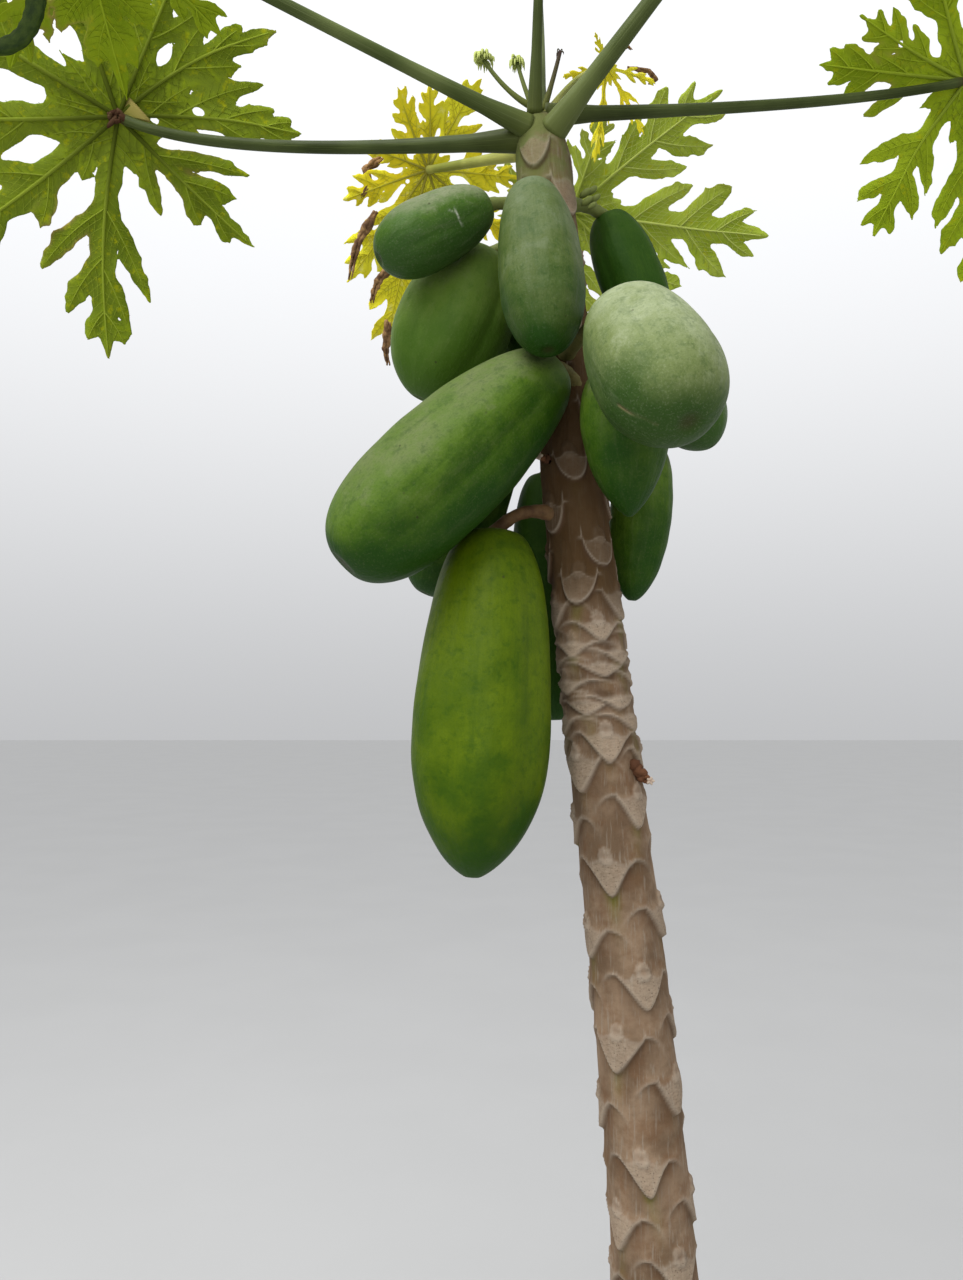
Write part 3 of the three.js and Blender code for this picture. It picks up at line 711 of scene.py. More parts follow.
def bark_finish(s):
    """Grey-brown bark with pale scars, light rims, painted shade in the hollows under the scars and on the
    stem among the fruit, dark pits and green patches.
    """
    made = Finish("papaya_bark", 0.85, 0.08)
    cloud = made.noise(17, 5, 0.62)
    patch = made.noise(38, 4, 0.6)
    line = made.noise(1, 3, 0.6, stretch=(330, 330, 26))
    rows = made.noise(1, 4, 0.65, stretch=(170, 170, 430))
    grain = made.noise(520, 3, 0.7)
    in_scar = made.mark("scar")
    bark = made.mix(made.span(cloud, 0.36, 0.64), s.bark_dark, s.bark_light)
    bark = made.lay(bark, s.bark_red, made.span(patch, 0.46, 0.66), 0.55)
    bark = made.lay(bark, s.bark_streak, made.span(line, 0.52, 0.70), 0.45)
    # Painted shade: the hollows under the scars and the grooves of the wrinkles are darkened in the colour.
    bark = made.lay(bark, s.bark_shade_and_pits, made.mark("shaded_hollow"), 0.92)
    bark = made.lay(bark, s.bark_green, made.mark("green"), made.span(patch, 0.35, 0.6, 0.3, 0.9))
    scar = made.mix(made.span(rows, 0.34, 0.58, 0.30, 1), s.scar_dark, s.scar_light)
    scar = made.lay(scar, s.scar_dark, made.span(grain, 0.60, 0.40), 0.25)
    bark = made.lay(bark, scar, in_scar, 0.58)
    bark = made.lay(bark, s.scar_rim, made.mark("rim"), 0.58)
    bark = made.lay(bark, s.scar_rim, made.mark("knob"), 0.30)
    bark = made.lay(bark, s.bark_red, made.mark("dimple"), 0.80)
    # Painted shade: the stem among the fruit is darkened towards umber, less on the scars and rims.
    shade = made.times(made.mark("shade"), made.span(in_scar, 0, 0.45, 0.86, 0.64))
    bark = made.lay(bark, s.bark_fruit_shade, shade, made.span(made.mark("rim"), 0.2, 1.2, 1.0, 0.55))
    young = made.times(made.mark("young"), made.span(cloud, 0.34, 0.58, 0.20, 0.95))
    bark = made.lay(bark, s.bark_young, young, made.less(1.0, made.times(in_scar, 0.8)))
    # Painted shadow: a dark line just below each scar's lower edge, where its lip overhangs the bark.
    bark = made.lay(bark, s.bark_shade_and_pits, made.mark("seam"), 0.8)
    speck = made.times(made.span(made.cells(300), 0.10, 0.24, 1, 0), made.plus(made.times(in_scar, 0.8), 0.15))
    bark = made.lay(bark, s.bark_shade_and_pits, speck, 0.6)
    made.colour(bark)
    height = made.plus(made.times(grain, 0.30), made.times(line, 0.45))
    height = made.plus(height, made.times(made.noise(110, 4), 0.9))
    made.bumps(made.less(height, made.times(speck, 0.6)), 0.0013, 0.8)
    return made.material


def stalk_finish(name, dark, light, streak_colour, s):
    """Smooth green stalk skin with faint lengthwise streaks."""
    made = Finish(name, 0.5, 0.12)
    streak = made.noise(5, 4, 0.55, stretch=(9, 1.2, 1), space="UV")
    skin = made.mix(made.span(made.noise(9, 3), 0.35, 0.65), dark, light)
    skin = made.lay(skin, streak_colour, made.span(streak, 0.5, 0.72), 0.5)
    skin = made.lay(skin, s.stalk_foot, made.mark("foot"), 0.55)
    skin = made.mix(made.mark("knot"), skin, s.stalk_knot)
    made.colour(skin)
    made.bumps(made.plus(streak, made.times(made.noise(260, 2), 0.3)), 0.0005, 0.5)
    return made.material


def fruit_finish(name, low, body, top, bloom_and_light_share, gloss, s):
    """Waxy fruit skin: painted shade on the lower side, a pale waxy coat with painted sky light on the upper
    side, soft patches, lengthwise bands and specks.
    """
    made = Finish(name, gloss, 0.12)
    patch = made.noise(14, 4, 0.58)
    fine = made.noise(85, 5, 0.68)
    mottle = made.noise(34, 6, 0.72)
    grain = made.noise(420, 3, 0.7)
    band_pattern = made.noise(4, 5, 0.6, stretch=(6, 0.9, 1), space="UV")
    streak = made.noise(4, 4, 0.7, stretch=(24, 1.3, 1), space="UV")
    belt = made.mark("belt")
    # Painted light: by which way the surface faces, the skin darkens to the low colour underneath as painted
    # shade and takes the top colour on the upper side as a waxy coat with painted sky light.
    up = made.plus(made.upward(), made.span(patch, 0.25, 0.75, -0.28, 0.28))
    bloom_and_top_light = made.times(made.span(up, 0.05, 0.95), made.span(fine, 0.28, 0.62, 0.45, 1.0))
    skin = made.mix(made.span(up, -0.62, 0.28), low, body)
    skin = made.lay(skin, top, bloom_and_top_light, bloom_and_light_share)
    skin = made.lay(skin, top, made.times(made.span(band_pattern, 0.50, 0.74), belt), 0.22)
    skin = made.lay(skin, low, made.times(made.span(band_pattern, 0.46, 0.26), belt), 0.42)
    skin = made.lay(skin, low, made.times(made.span(streak, 0.50, 0.68), belt), 0.11)
    skin = made.lay(skin, top, made.times(made.span(streak, 0.48, 0.32), belt), 0.05)
    skin = made.lay(skin, low, made.span(mottle, 0.52, 0.68), 0.36)
    # Pale mottling laid only where the surface faces up: painted sky light.
    skin = made.lay(skin, top, made.span(mottle, 0.48, 0.34, 0, 0.40), made.span(up, -0.25, 0.35))
    skin = made.lay(skin, low, made.span(fine, 0.52, 0.68), 0.40)
    skin = made.lay(skin, low, made.span(grain, 0.52, 0.66), 0.22)
    skin = made.lay(skin, top, made.span(grain, 0.46, 0.34), 0.16)
    skin = made.lay(skin, top, made.span(made.cells(330), 0.07, 0.15, 1, 0), 0.16)
    pocks = made.times(made.span(made.cells(46), 0.05, 0.09, 1, 0), made.span(patch, 0.52, 0.60))
    skin = made.lay(skin, s.pock, pocks, 0.7)
    skin = made.lay(skin, s.crack, made.mark("crack"), made.span(fine, 0.30, 0.60, 0.45, 0.95))
    skin = made.lay(skin, s.drop, made.mark("drop"), made.span(fine, 0.35, 0.55))
    skin = made.lay(skin, s.blossom_end, made.mark("blossom_end"), 0.60)
    skin = made.lay(skin, s.stem_end, made.mark("stem_end"), 0.55)
    made.colour(skin)
    made.gloss(made.span(bloom_and_top_light, 0, 0.8, gloss, gloss + 0.2))
    height = made.plus(made.noise(55, 5, 0.62), made.times(made.noise(230, 3, 0.6), 0.30))
    height = made.plus(height, made.times(made.span(band_pattern, 0.3, 0.7), 0.35))
    made.bumps(made.less(height, made.times(made.mark("crack"), 1.2)), 0.0026, 0.5)
    return made.material


def fruit_stalk_finish(s):
    """Yellow-brown corky skin of a fruit's stalk."""
    made = Finish("fruit_stalk_skin", 0.7, 0.3)
    skin = made.mix(made.span(made.noise(45, 4, 0.6), 0.35, 0.65), s.peduncle_dark, s.peduncle_light)
    skin = made.lay(skin, s.peduncle_young, made.mark("along"), 0.96)
    skin = made.mix(made.span(made.noise(160, 3), 0.6, 0.75, 0, 0.4), skin, s.peduncle_cork)
    made.colour(skin)
    made.bumps(made.noise(240, 4, 0.6), 0.001, 0.6)
    return made.material


def blade_finish(name, deep, bright, fleck, vein, edge, gloss=0.8, shine=0.03):
    """Leaf skin: mottled colour, flecks between the veins, paler round the ribs, browner at the edge."""
    made = Finish(name, gloss, shine)
    skin = made.mix(made.span(made.noise(9, 5, 0.6, space="UV"), 0.32, 0.68), deep, bright)
    skin = made.lay(skin, fleck, made.span(made.noise(64, 4, 0.66, space="UV"), 0.54, 0.68), 0.75)
    net = made.span(made.cells(120, space="UV", feature="DISTANCE_TO_EDGE"), 0.0, 0.09, 1, 0)
    skin = made.lay(skin, vein, net, 0.16)
    skin = made.lay(skin, vein, made.mark("vein"), 0.65)
    skin = made.mix(made.mark("edge"), skin, edge)
    made.colour(skin)
    made.bumps(made.less(made.noise(90, 3, space="UV"), made.times(net, 0.5)), 0.0006, 0.5)
    return made.material


def rib_finish(name, root, tip):
    """Skin of ribs and other thin tubes, which goes from one colour at the root to another at the tip."""
    made = Finish(name, 0.65, 0.05)
    skin = made.mix(made.mark("along"), root, tip)
    made.colour(made.lay(skin, root, made.noise(60, 3), 0.35))
    made.bumps(made.noise(300, 2), 0.0004, 0.4)
    return made.material


def dry_finish(s):
    """Brown papery skin of withered tips."""
    made = Finish("withered_tip", 0.85, 0.2)
    made.colour(made.mix(made.span(made.noise(70, 4, 0.6), 0.35, 0.65), s.dry_dark, s.dry_light))
    made.bumps(made.noise(220, 4), 0.0015, 0.7)
    return made.material


# Trunk with its leaf scars


def leaf_scars():
    """Every scar up the stem: its turn, its tip's height and its size."""
    numbers, heights = np.array(SCAR_HEIGHTS).T
    rng = np.random.default_rng(11)
    scars = []
    for number in range(int(numbers[0]), int(numbers[-1]) + 1):
        height = float(np.interp(number, numbers, heights))
        if height > OLD_SCARS_END:
            continue
        crowded = math.exp(-(((height - 1.515) / 0.075) ** 4))
        high = float(smooth_step((height - 1.595) / 0.03))
        scars.append(
            dict(
                height=height + 0.0035 * crowded * rng.normal(),
                turn=math.radians(FIRST_SCAR_TURN - SCAR_TURN * number) + 0.10 * crowded * rng.normal(),
                wide=(0.064 - 0.006 * crowded - 0.018 * high) * rng.uniform(0.92, 1.06),
                tall=(0.040 - 0.025 * crowded - 0.006 * high) * rng.uniform(0.9, 1.08),
                stands=(0.0052 - 0.0020 * crowded - 0.0014 * high) * rng.uniform(0.8, 1.15),
                heart=high,
                crowded=crowded,
                flare=rng.uniform(1.1, 1.7),
                knob=(1 - 0.8 * crowded) * rng.uniform(0.6, 1.1),
                green=rng.uniform(0, 1) ** 1.5,
                tilt=rng.normal(0, 0.10 + 0.15 * crowded),
            )
        )
    for height, turn, wide in YOUNG_SCARS:
        scars.append(
            dict(
                height=height,
                turn=math.radians(turn),
                wide=wide,
                tall=0.85 * wide,
                stands=0.0026,
                heart=0.7,
                crowded=0,
                flare=1.1,
                knob=0,
                green=0.8,
                tilt=0.0,
            )
        )
    return scars


def scar_edge(share, scar):
    """The height of a scar's lower edge above its tip, at a share of its half width.

    The edge is a round-pointed vee, or a heart on the young stem, and goes on as a wing that arches down.
    """
    flat = np.sqrt(share**2 + 0.05) - math.sqrt(0.05)
    vee = 1 - np.clip(1 - flat / 0.87, 0, 1) ** scar["flare"]
    heart = 1 - np.sqrt(np.clip(1 - 0.96 * share**2, 0.04, 1))
    inner = vee + (heart / 0.8 - vee) * scar["heart"]
    past = np.maximum(share - 1, 0)
    wing = 1 + 0.25 * past - (1.05 - 0.75 * scar["crowded"]) * past**2
    return scar["tall"] * np.where(share < 1, inner, wing)


def scar_strength(share, scar):
    """How much of a scar stands out at a share of its half width, with wings that fade past its sides."""
    wing_reach = 0.62 - 0.35 * scar["heart"] + 0.45 * scar["crowded"]
    return np.where(share < 1, 1 - 0.40 * share, 0.60 * band(np.maximum(share - 1, 0), wing_reach))


def scar_shelf(share, rise, inward):
    """The height of a scar's face, which sinks up to its crest and falls away above it, and of its wings."""
    face = 1 - 0.38 * np.clip(rise, 0, 1)
    past_crest = (0.30 + 0.32 * band(rise - 1, 0.10)) * np.exp(-(rise - 1) / 0.8)
    plaque = np.where(rise < 1, face, past_crest)
    ridge = np.exp(-np.maximum(inward, 0) / 0.011)
    blend = smooth_step((share - 0.8) / 0.4)
    return plaque * (1 - blend) + ridge * blend


def scar_relief(scar, across, above):
    """One scar's bulge, and the marks of its parts, at places across and above its tip."""
    half = scar["wide"] / 2
    across = across + scar["tilt"] * above
    share = np.abs(across) / half
    slope = (scar_edge(share + 0.03, scar) - scar_edge(np.maximum(share - 0.03, 0), scar)) / (0.06 * half)
    inward = (above - scar_edge(share, scar)) / np.sqrt(1 + slope**2)
    rise = above / scar["tall"]
    strength = scar_strength(share, scar)
    crest = scar["tall"] * (1 + 0.10 * np.cos(share * 4.4))
    rim = band(inward - RIM_INSIDE, RIM_WIDTH) * np.clip(strength * 1.3, 0, 1)
    top_rim = band(above - crest, TOP_RIM_WIDTH) * (share < 0.95) * 0.6
    step = smooth_step((inward + 0.0018) / 0.0048)
    bulge = scar["stands"] * strength * scar_shelf(share, rise, inward) * step
    bulge = bulge + RIM_HEIGHT * rim + TOP_RIM_HEIGHT * top_rim
    # The hollow just under a scar's edge is marked to be sunk and also darkened as painted shade.
    under = np.exp(-np.maximum(-inward, 0) / (0.010 + 0.010 * np.clip(share, 0, 1))) * (inward < 0.001)
    face = smooth_step(inward / 0.003) * smooth_step((crest / scar["tall"] - rise) / 0.10)
    face = face * smooth_step((1.06 - share) / 0.10)
    beneath = band(across, 0.0075) * np.exp(-np.maximum(-above, 0) / 0.020) * (inward < 0)
    marks = {
        "shaded_hollow": under * np.clip(strength * (0.45 + 0.75 * smooth_step(share / 0.9)), 0, 1),
        "scar": face * (1 - 0.55 * scar["heart"]),
        "rim": np.maximum(rim, top_rim) * (1 + 0.5 * scar["heart"]),
        "green": beneath * scar["green"],
        # The seam mark is a painted shadow line just below the scar's lower edge.
        "seam": band(inward + 0.0008, 0.0017) * (share < 1.05) * (0.3 + 0.7 * scar["heart"]),
    }
    return bulge, marks


def knob_relief(scar, across, above):
    """The round stub of a flower stalk just above a scar, with a ring and a dimple; then its dark dimple."""
    across = across + scar["tilt"] * above
    up = above - scar["tall"] - KNOB_ABOVE
    far = np.sqrt((across / KNOB_HALF[0]) ** 2 + (up / KNOB_HALF[1]) ** 2)
    dome = np.sqrt(np.clip(1 - (far / 1.15) ** 2, 0, 1))
    dimple = band(far, 0.42)
    lump = 1 + 0.35 * np.sin(9 * np.arctan2(up, across) + scar["turn"]) * (far > 0.3)
    return scar["knob"] * dome * lump * (1 - 0.5 * dimple), 0.6 * scar["knob"] * dimple


def gather_scars(turn, height):
    """The scars' bulges and knobs and the marks of their parts, at each turn and height of the bark."""
    bulge = np.zeros_like(height)
    knobs = np.zeros_like(height)
    marks = {name: np.zeros_like(height) for name in ("shaded_hollow", "scar", "rim", "green", "dimple", "seam")}
    radius = trunk_radius(height)
    for scar in leaf_scars():
        above = height - scar["height"]
        wrapped = (turn - scar["turn"] + math.pi) % FULL_TURN - math.pi
        across = wrapped * radius
        near = (np.abs(above) < 0.09) & (np.abs(across) < scar["wide"] * 1.6)
        if not near.any():
            continue
        out, found = scar_relief(scar, across[near], above[near])
        bulge[near] = np.maximum(bulge[near], out) + 0.2 * np.minimum(bulge[near], out)
        knob, found["dimple"] = knob_relief(scar, across[near], above[near])
        knobs[near] = np.maximum(knobs[near], knob)
        for name, values in found.items():
            marks[name][near] = np.maximum(marks[name][near], values)
    return bulge, knobs, marks


def trunk_marks(turn, height):
    """The bark's relief in metres and the marks of its finish, at each turn and height."""
    bulge, knobs, marks = gather_scars(turn, height)
    plain = (1 - marks["scar"]) * (1 - marks["rim"])
    marks["shaded_hollow"] = marks["shaded_hollow"] * plain * (1 - smooth_step(knobs * 3))
    marks["rim"] = marks["rim"] * (1 - 0.5 * marks["scar"])
    relief = bulge + KNOB_HEIGHT * knobs - HOLLOW_DEPTH * marks["shaded_hollow"]
    marks["knob"] = smooth_step(knobs * 2.5)
    marks["young"] = smooth_step((height - OLD_SCARS_END) / 0.10)
    # The shade mark paints the shade of the fruit on this stretch of the stem.
    marks["shade"] = smooth_step((height - 1.600) / 0.05) * smooth_step((OLD_SCARS_END - height) / 0.08)
    wrinkled = np.exp(-(((height - 1.525) / 0.075) ** 4)) * (1 - marks["scar"])
    lines = soft_noise(np.stack([np.cos(turn) * 1.2, np.sin(turn) * 1.2, height * 75], 1), 1.0, 21)
    relief = relief + 0.0024 * wrinkled * lines
    # The wrinkles' grooves join the hollow mark, which darkens them as painted shade.
    marks["shaded_hollow"] = np.maximum(marks["shaded_hollow"], 0.8 * wrinkled * np.clip(-lines, 0, 1))
    fade = smooth_step((TRUNK_TIP_HEIGHT - 0.02 - height) / 0.06) * smooth_step(height / 0.05)
    return relief * fade, marks


def make_trunk(settings):
    """The trunk's bark, from a flat cut at the ground to its round tip among the stalks."""
    low = np.linspace(0, BARK_SEEN_FROM, BARK_LOW_ROWS)
    high = np.linspace(BARK_SEEN_FROM, TRUNK_TIP_HEIGHT, BARK_HIGH_ROWS)[1:]
    heights = np.concatenate([[0, 0], low, high])
    closing = np.concatenate([[0, 0.5], np.ones(len(low) + len(high))])

    def shape(around, along):
        row = np.rint(along * (len(heights) - 1)).astype(int)
        height = heights[row]
        turn = around * FULL_TURN
        relief, marks = trunk_marks(turn, height)
        spots = np.stack([np.cos(turn), np.sin(turn), height * 0.4], 1)
        relief = relief + 0.0011 * soft_noise(spots, 1.1, 3) + 0.0008 * soft_noise(spots * [1, 1, 12], 0.6, 4)
        radius = (trunk_radius(height) + relief * (trunk_radius(height) > 0.01)) * closing[row]
        x = trunk_middle(height) + np.sin(turn) * radius
        return np.stack([x, -np.cos(turn) * radius, height], 1), marks

    piece = rolled_skin("trunk_bark", BARK_AROUND, len(heights) - 1, shape)
    bpy.ops.object.shade_smooth_by_angle(angle=math.radians(70))
    settle(piece, "bark", [bark_finish(settings)], "trunk")


# Leaf stalks


def make_stalk(name, leaf, finish):
    """One leaf stalk: a flared ribbed foot, a long taper and a small knot under the blade."""
    shares, thickness = np.array(STALK_PROFILE).T
    centre = even_curve(on_trunk(*leaf["foot"], 0.65), leaf["bend"], leaf["hub"], STALK_ROWS + 1)
    out = tube_points(centre, np.ones(len(centre)), np.zeros(1))[:, 0] - centre
    side = np.cross(directions(centre), out)

    def shape(around, along):
        turns = around * FULL_TURN
        row = np.rint(along * STALK_ROWS).astype(int)
        share = row / STALK_ROWS
        ends = np.sqrt(np.clip(1 - ((share - 0.985) / 0.015).clip(0) ** 2, 0, 1)) * (row > 0)
        knot = band(share - 0.972, 0.016)
        wide = leaf["radius"] * np.interp(share, shares, thickness) * (1 + 0.12 * knot) * ends
        wide = wide * (1 + 0.035 * np.cos(5 * turns) * np.exp(-share / 0.12))
        ring = np.cos(turns)[:, None] * out[row] + np.sin(turns)[:, None] * side[row]
        knot_mark = smooth_step((share - 0.965) / 0.02) * (0.8 if name == "left" else 0.35)
        return centre[row] + wide[:, None] * ring, {"foot": np.exp(-share / 0.06), "knot": knot_mark}

    piece = rolled_skin(f"{name}_leaf_stalk", STALK_AROUND, STALK_ROWS, shape)
    settle(piece, "stalk", [finish], f"stalk_{name}")


# Leaf blades


class Lamina:
    """The flat sheet of one leaf, grown round its veins on a grid of distances."""

    def __init__(self, reach, step):
        self.step = step
        self.half = int(reach / step) + 3
        self.line = np.arange(-self.half, self.half + 1) * step
        count = len(self.line)
        self.inside = np.full((count, count), -1.0)
        self.vein = np.full((count, count), 1.0)

    def grow(self, path, widths, blend):
        """Adds the leaf round one vein, whose half widths run along it, and rounds the corner it makes."""
        margin = max(widths) + 2.2 * blend + 2 * self.step
        low = np.floor((path.min(axis=0) - margin) / self.step).astype(int) + self.half
        high = np.ceil((path.max(axis=0) + margin) / self.step).astype(int) + self.half + 1
        low, high = np.clip(low, 0, len(self.line)), np.clip(high, 0, len(self.line))
        columns, rows = slice(low[0], high[0]), slice(low[1], high[1])
        x, y = np.meshgrid(self.line[columns], self.line[rows])
        lobe = np.full(x.shape, -1.0)
        for (start, end), (wide, wide_end) in zip(zip(path, path[1:]), zip(widths, widths[1:])):
            step = end - start
            share = np.clip(((x - start[0]) * step[0] + (y - start[1]) * step[1]) / (step @ step), 0, 1)
            far = np.hypot(x - start[0] - share * step[0], y - start[1] - share * step[1])
            lobe = np.maximum(lobe, wide + share * (wide_end - wide) - far)
            self.vein[rows, columns] = np.minimum(self.vein[rows, columns], far)
        old = self.inside[rows, columns]
        soft = np.maximum(blend - np.abs(old - lobe), 0) / blend
        self.inside[rows, columns] = np.maximum(old, lobe) + soft**2 * blend / 4

    def pierce(self, x, y, radius, stretch):
        """Cuts a small hole, longer across by a stretch."""
        grid_x, grid_y = np.meshgrid(self.line, self.line)
        far = np.hypot((grid_x - x) / stretch, grid_y - y)
        self.inside = np.minimum(self.inside, far - radius)

    def depth_at(self, places):
        """How far inside the edge each place lies, and how far from the nearest vein."""
        column, row = np.clip(np.rint(places / self.step).astype(int) + self.half, 0, len(self.line) - 1).T
        return self.inside[row, column], self.vein[row, column]

    def sheet(self):
        """Flat points, triangles, and each point's distance to the edge and to the nearest vein."""
        count = len(self.line)
        grid_x, grid_y = np.meshgrid(self.line, self.line)
        values = np.stack([grid_x.ravel(), grid_y.ravel(), self.inside.ravel(), self.vein.ravel()], 1)
        index = np.arange(count * count).reshape(count, count)
        corners = (index[:-1, :-1], index[:-1, 1:], index[1:, 1:], index[1:, :-1])
        a, b, c, d = (corner.ravel() for corner in corners)
        triangles = np.concatenate([np.stack([a, b, c], 1), np.stack([a, c, d], 1)])
        return cut_sheet(values, triangles)


def crossing_triangles(inside, triangles, wanted):
    """The triangles with one or two corners inside, turned to begin with the corner that differs."""
    group = triangles[inside[triangles].sum(axis=1) == wanted]
    odd = np.argmax(inside[group] == (wanted == 1), axis=1)
    return np.stack([group[np.arange(len(group)), (odd + k) % 3] for k in range(3)], 1)


def cut_sheet(values, triangles):
    """Keeps the triangles where the third value is above nought and cuts those that its edge crosses."""
    inside = values[:, 2] > 0
    whole = triangles[inside[triangles].all(axis=1)]
    corner = crossing_triangles(inside, triangles, 1)
    pair = crossing_triangles(inside, triangles, 2)
    sides = [np.sort(group[:, [0, k]], axis=1) for group in (corner, pair) for k in (1, 2)]
    crossed = np.concatenate(sides)
    total = len(values)
    keys, places = np.unique(crossed[:, 0] * total + crossed[:, 1], return_inverse=True)
    low, high = keys // total, keys % total
    share = np.clip(values[low, 2] / (values[low, 2] - values[high, 2]), 0.06, 0.94)[:, None]
    cuts = values[low] * (1 - share) + values[high] * share
    one, two = len(corner), len(pair)
    cut_a, cut_b, cut_c, cut_d = np.split(places.ravel() + total, [one, 2 * one, 2 * one + two])
    faces = np.concatenate(
        [
            whole,
            np.stack([corner[:, 0], cut_a, cut_b], 1),
            np.stack([cut_c, pair[:, 1], pair[:, 2]], 1),
            np.stack([cut_c, pair[:, 2], cut_d], 1),
        ]
    )
    return largest_part(np.concatenate([values, cuts]), faces)


def largest_part(values, faces):
    """Keeps the largest connected part of a sheet, without the specks that the cut left loose beside it."""
    label = np.arange(len(values))
    settled = False
    while not settled:
        lowest = label[faces].min(axis=1)
        spread = label.copy()
        np.minimum.at(spread, faces.ravel(), np.repeat(lowest, 3))
        spread = spread[spread]
        settled = bool((spread == label).all())
        label = spread
    of_face = label[faces[:, 0]]
    faces = faces[of_face == np.bincount(of_face).argmax()]
    used, faces = np.unique(faces, return_inverse=True)
    return values[used], faces.reshape(-1, 3)


def lobe_neighbours(leaf):
    """For each lobe: its angle, its length, and the gaps to the lobes before and after it."""
    angles = [math.radians(turn) for turn, _ in leaf["lobes"]]
    rows = []
    for i, (_, share) in enumerate(leaf["lobes"]):
        before = (angles[i] - angles[i - 1]) % FULL_TURN
        after = (angles[(i + 1) % len(angles)] - angles[i]) % FULL_TURN
        rows.append((angles[i], share * leaf["length"], before, after))
    return rows


def side_lobes(name, turn, before, after, width, rng):
    """A lobe's side lobes as rows: where the vein leaves, the tip along and across, and half the width."""
    if (name, turn) in OWN_LOBES:
        own = OWN_LOBES[name, turn]
        return own["sway"], own["sides"]
    rows = []
    for side, gap in ((-1, before), (1, after)):
        room = math.tan(min(gap, WIDEST_GAP) / 2) * 0.86
        for lobe in SIDE_LOBES:
            slide = rng.normal(0, 0.014) + 0.016 * side
            along = min(lobe["along"] + slide, 0.965)
            wanted = lobe["across"] * width * rng.uniform(0.9, 1.1)
            out = min(wanted, along * room)
            half = lobe["half"] * width * min(1, 0.35 + 0.65 * out / wanted)
            rows.append((lobe["leaves"] + slide, along, side * out, half))
    return rng.normal(0, 0.012), rows


def lobe_veins(angle, long, sway, sides, width, rng):
    """One lobe's veins: the rib first, then side veins and their teeth, each as a path with half widths."""
    forward = np.array([math.cos(angle), math.sin(angle)])
    across = np.array([-forward[1], forward[0]])

    def spot(along, out):
        return long * (along * forward + (out + sway * math.sin(math.pi * along)) * across)

    shares, halves = np.array(RIB_LAMINA).T
    steps = np.linspace(0, 1, 15)
    yield "rib", np.array([spot(t, 0) for t in steps]), np.interp(steps, shares, halves) * long * width
    steps = np.linspace(0, 1, 8)
    outline = np.interp(steps, [0, 0.35, 0.6, 0.85, 1], [0.55, 0.95, 0.85, 0.40, 0])
    for leaves, along, out, half in sides:
        start = np.array([leaves, 0.0])
        tip = np.array([along, out])
        bend = (start + tip) / 2 + np.array([-0.018, 0.12 * out])
        path = np.array([spot(*place) for place in along_curve(start, bend, tip, steps)])
        yield "side", path, half * long * outline
        yield from tooth_veins(path, half * long, math.copysign(1, out), rng)


def tooth_veins(path, half, side, rng):
    """Short veins that leave a side vein and end in the teeth of its lobe."""
    for at, turn, size in ((3, 1, 1.45), (4, -1, 1.2), (5, 1, 1.0)):
        if rng.uniform() < 0.4:
            continue
        ahead = unit(path[at + 1] - path[at])
        lean = side * turn * math.radians(rng.uniform(38, 52))
        turned = ahead * math.cos(lean) + np.array([-ahead[1], ahead[0]]) * math.sin(lean)
        end = path[at] + turned * half * size * rng.uniform(0.85, 1.1)
        yield "tooth", np.array([path[at], (path[at] + end) / 2, end]), half * np.array([0.62, 0.42, 0.0])


def grow_leaf(name, leaf):
    """The flat sheet of one leaf, and its ribs and side veins."""
    rng = np.random.default_rng(sum(map(ord, name)) * 7 + 1)
    long = leaf["length"]
    lamina = Lamina(long * 1.12, max(0.0016, long / 105))
    blend = 0.020 * long
    veins = []
    lobes = lobe_neighbours(leaf)
    for (angle, reach, before, after), (turn, _) in zip(lobes, leaf["lobes"]):
        sway, sides = side_lobes(name, turn, before, after, leaf["width"], rng)
        for kind, path, widths in lobe_veins(angle, reach, sway, sides, leaf["width"], rng):
            lamina.grow(path, widths, blend)
            if kind in VEIN_TUBES:
                veins.append((kind, path))
    fill_webs(lamina, lobes, leaf["width"], 2 * blend)
    grid = np.stack(np.meshgrid(lamina.line, lamina.line), -1).reshape(-1, 2)
    ragged = soft_noise(grid, 0.06 * long, 5) * 0.0022 + soft_noise(grid, 0.025 * long, 6) * 0.0008
    lamina.inside += ragged.reshape(lamina.inside.shape) * long / COMMON_LENGTH
    for _ in range(leaf.get("holes", 3)):
        angle, reach, _, _ = lobes[rng.integers(len(lobes))]
        far = rng.uniform(0.12, 0.8) * reach
        off = rng.normal(0, 0.05) * reach
        forward = np.array([math.cos(angle), math.sin(angle)])
        spot = far * forward + off * np.array([-forward[1], forward[0]])
        radius = rng.uniform(0.002, 0.0055) * long / COMMON_LENGTH
        lamina.pierce(*spot, radius, rng.uniform(0.7, 1.8))
    return lamina, veins


def fill_webs(lamina, lobes, width, blend):
    """Joins neighbouring lobes near the hub, with no vein between them."""
    for angle, long, before, _ in lobes:
        if before < WIDEST_GAP:
            reach = 0.12 * long * width
            middle = angle - before / 2
            web = np.array([[0, 0], [math.cos(middle) * reach, math.sin(middle) * reach]])
            kept = lamina.vein.copy()
            lamina.grow(web, [0.02 * long, 0.035 * long], blend)
            lamina.vein = kept


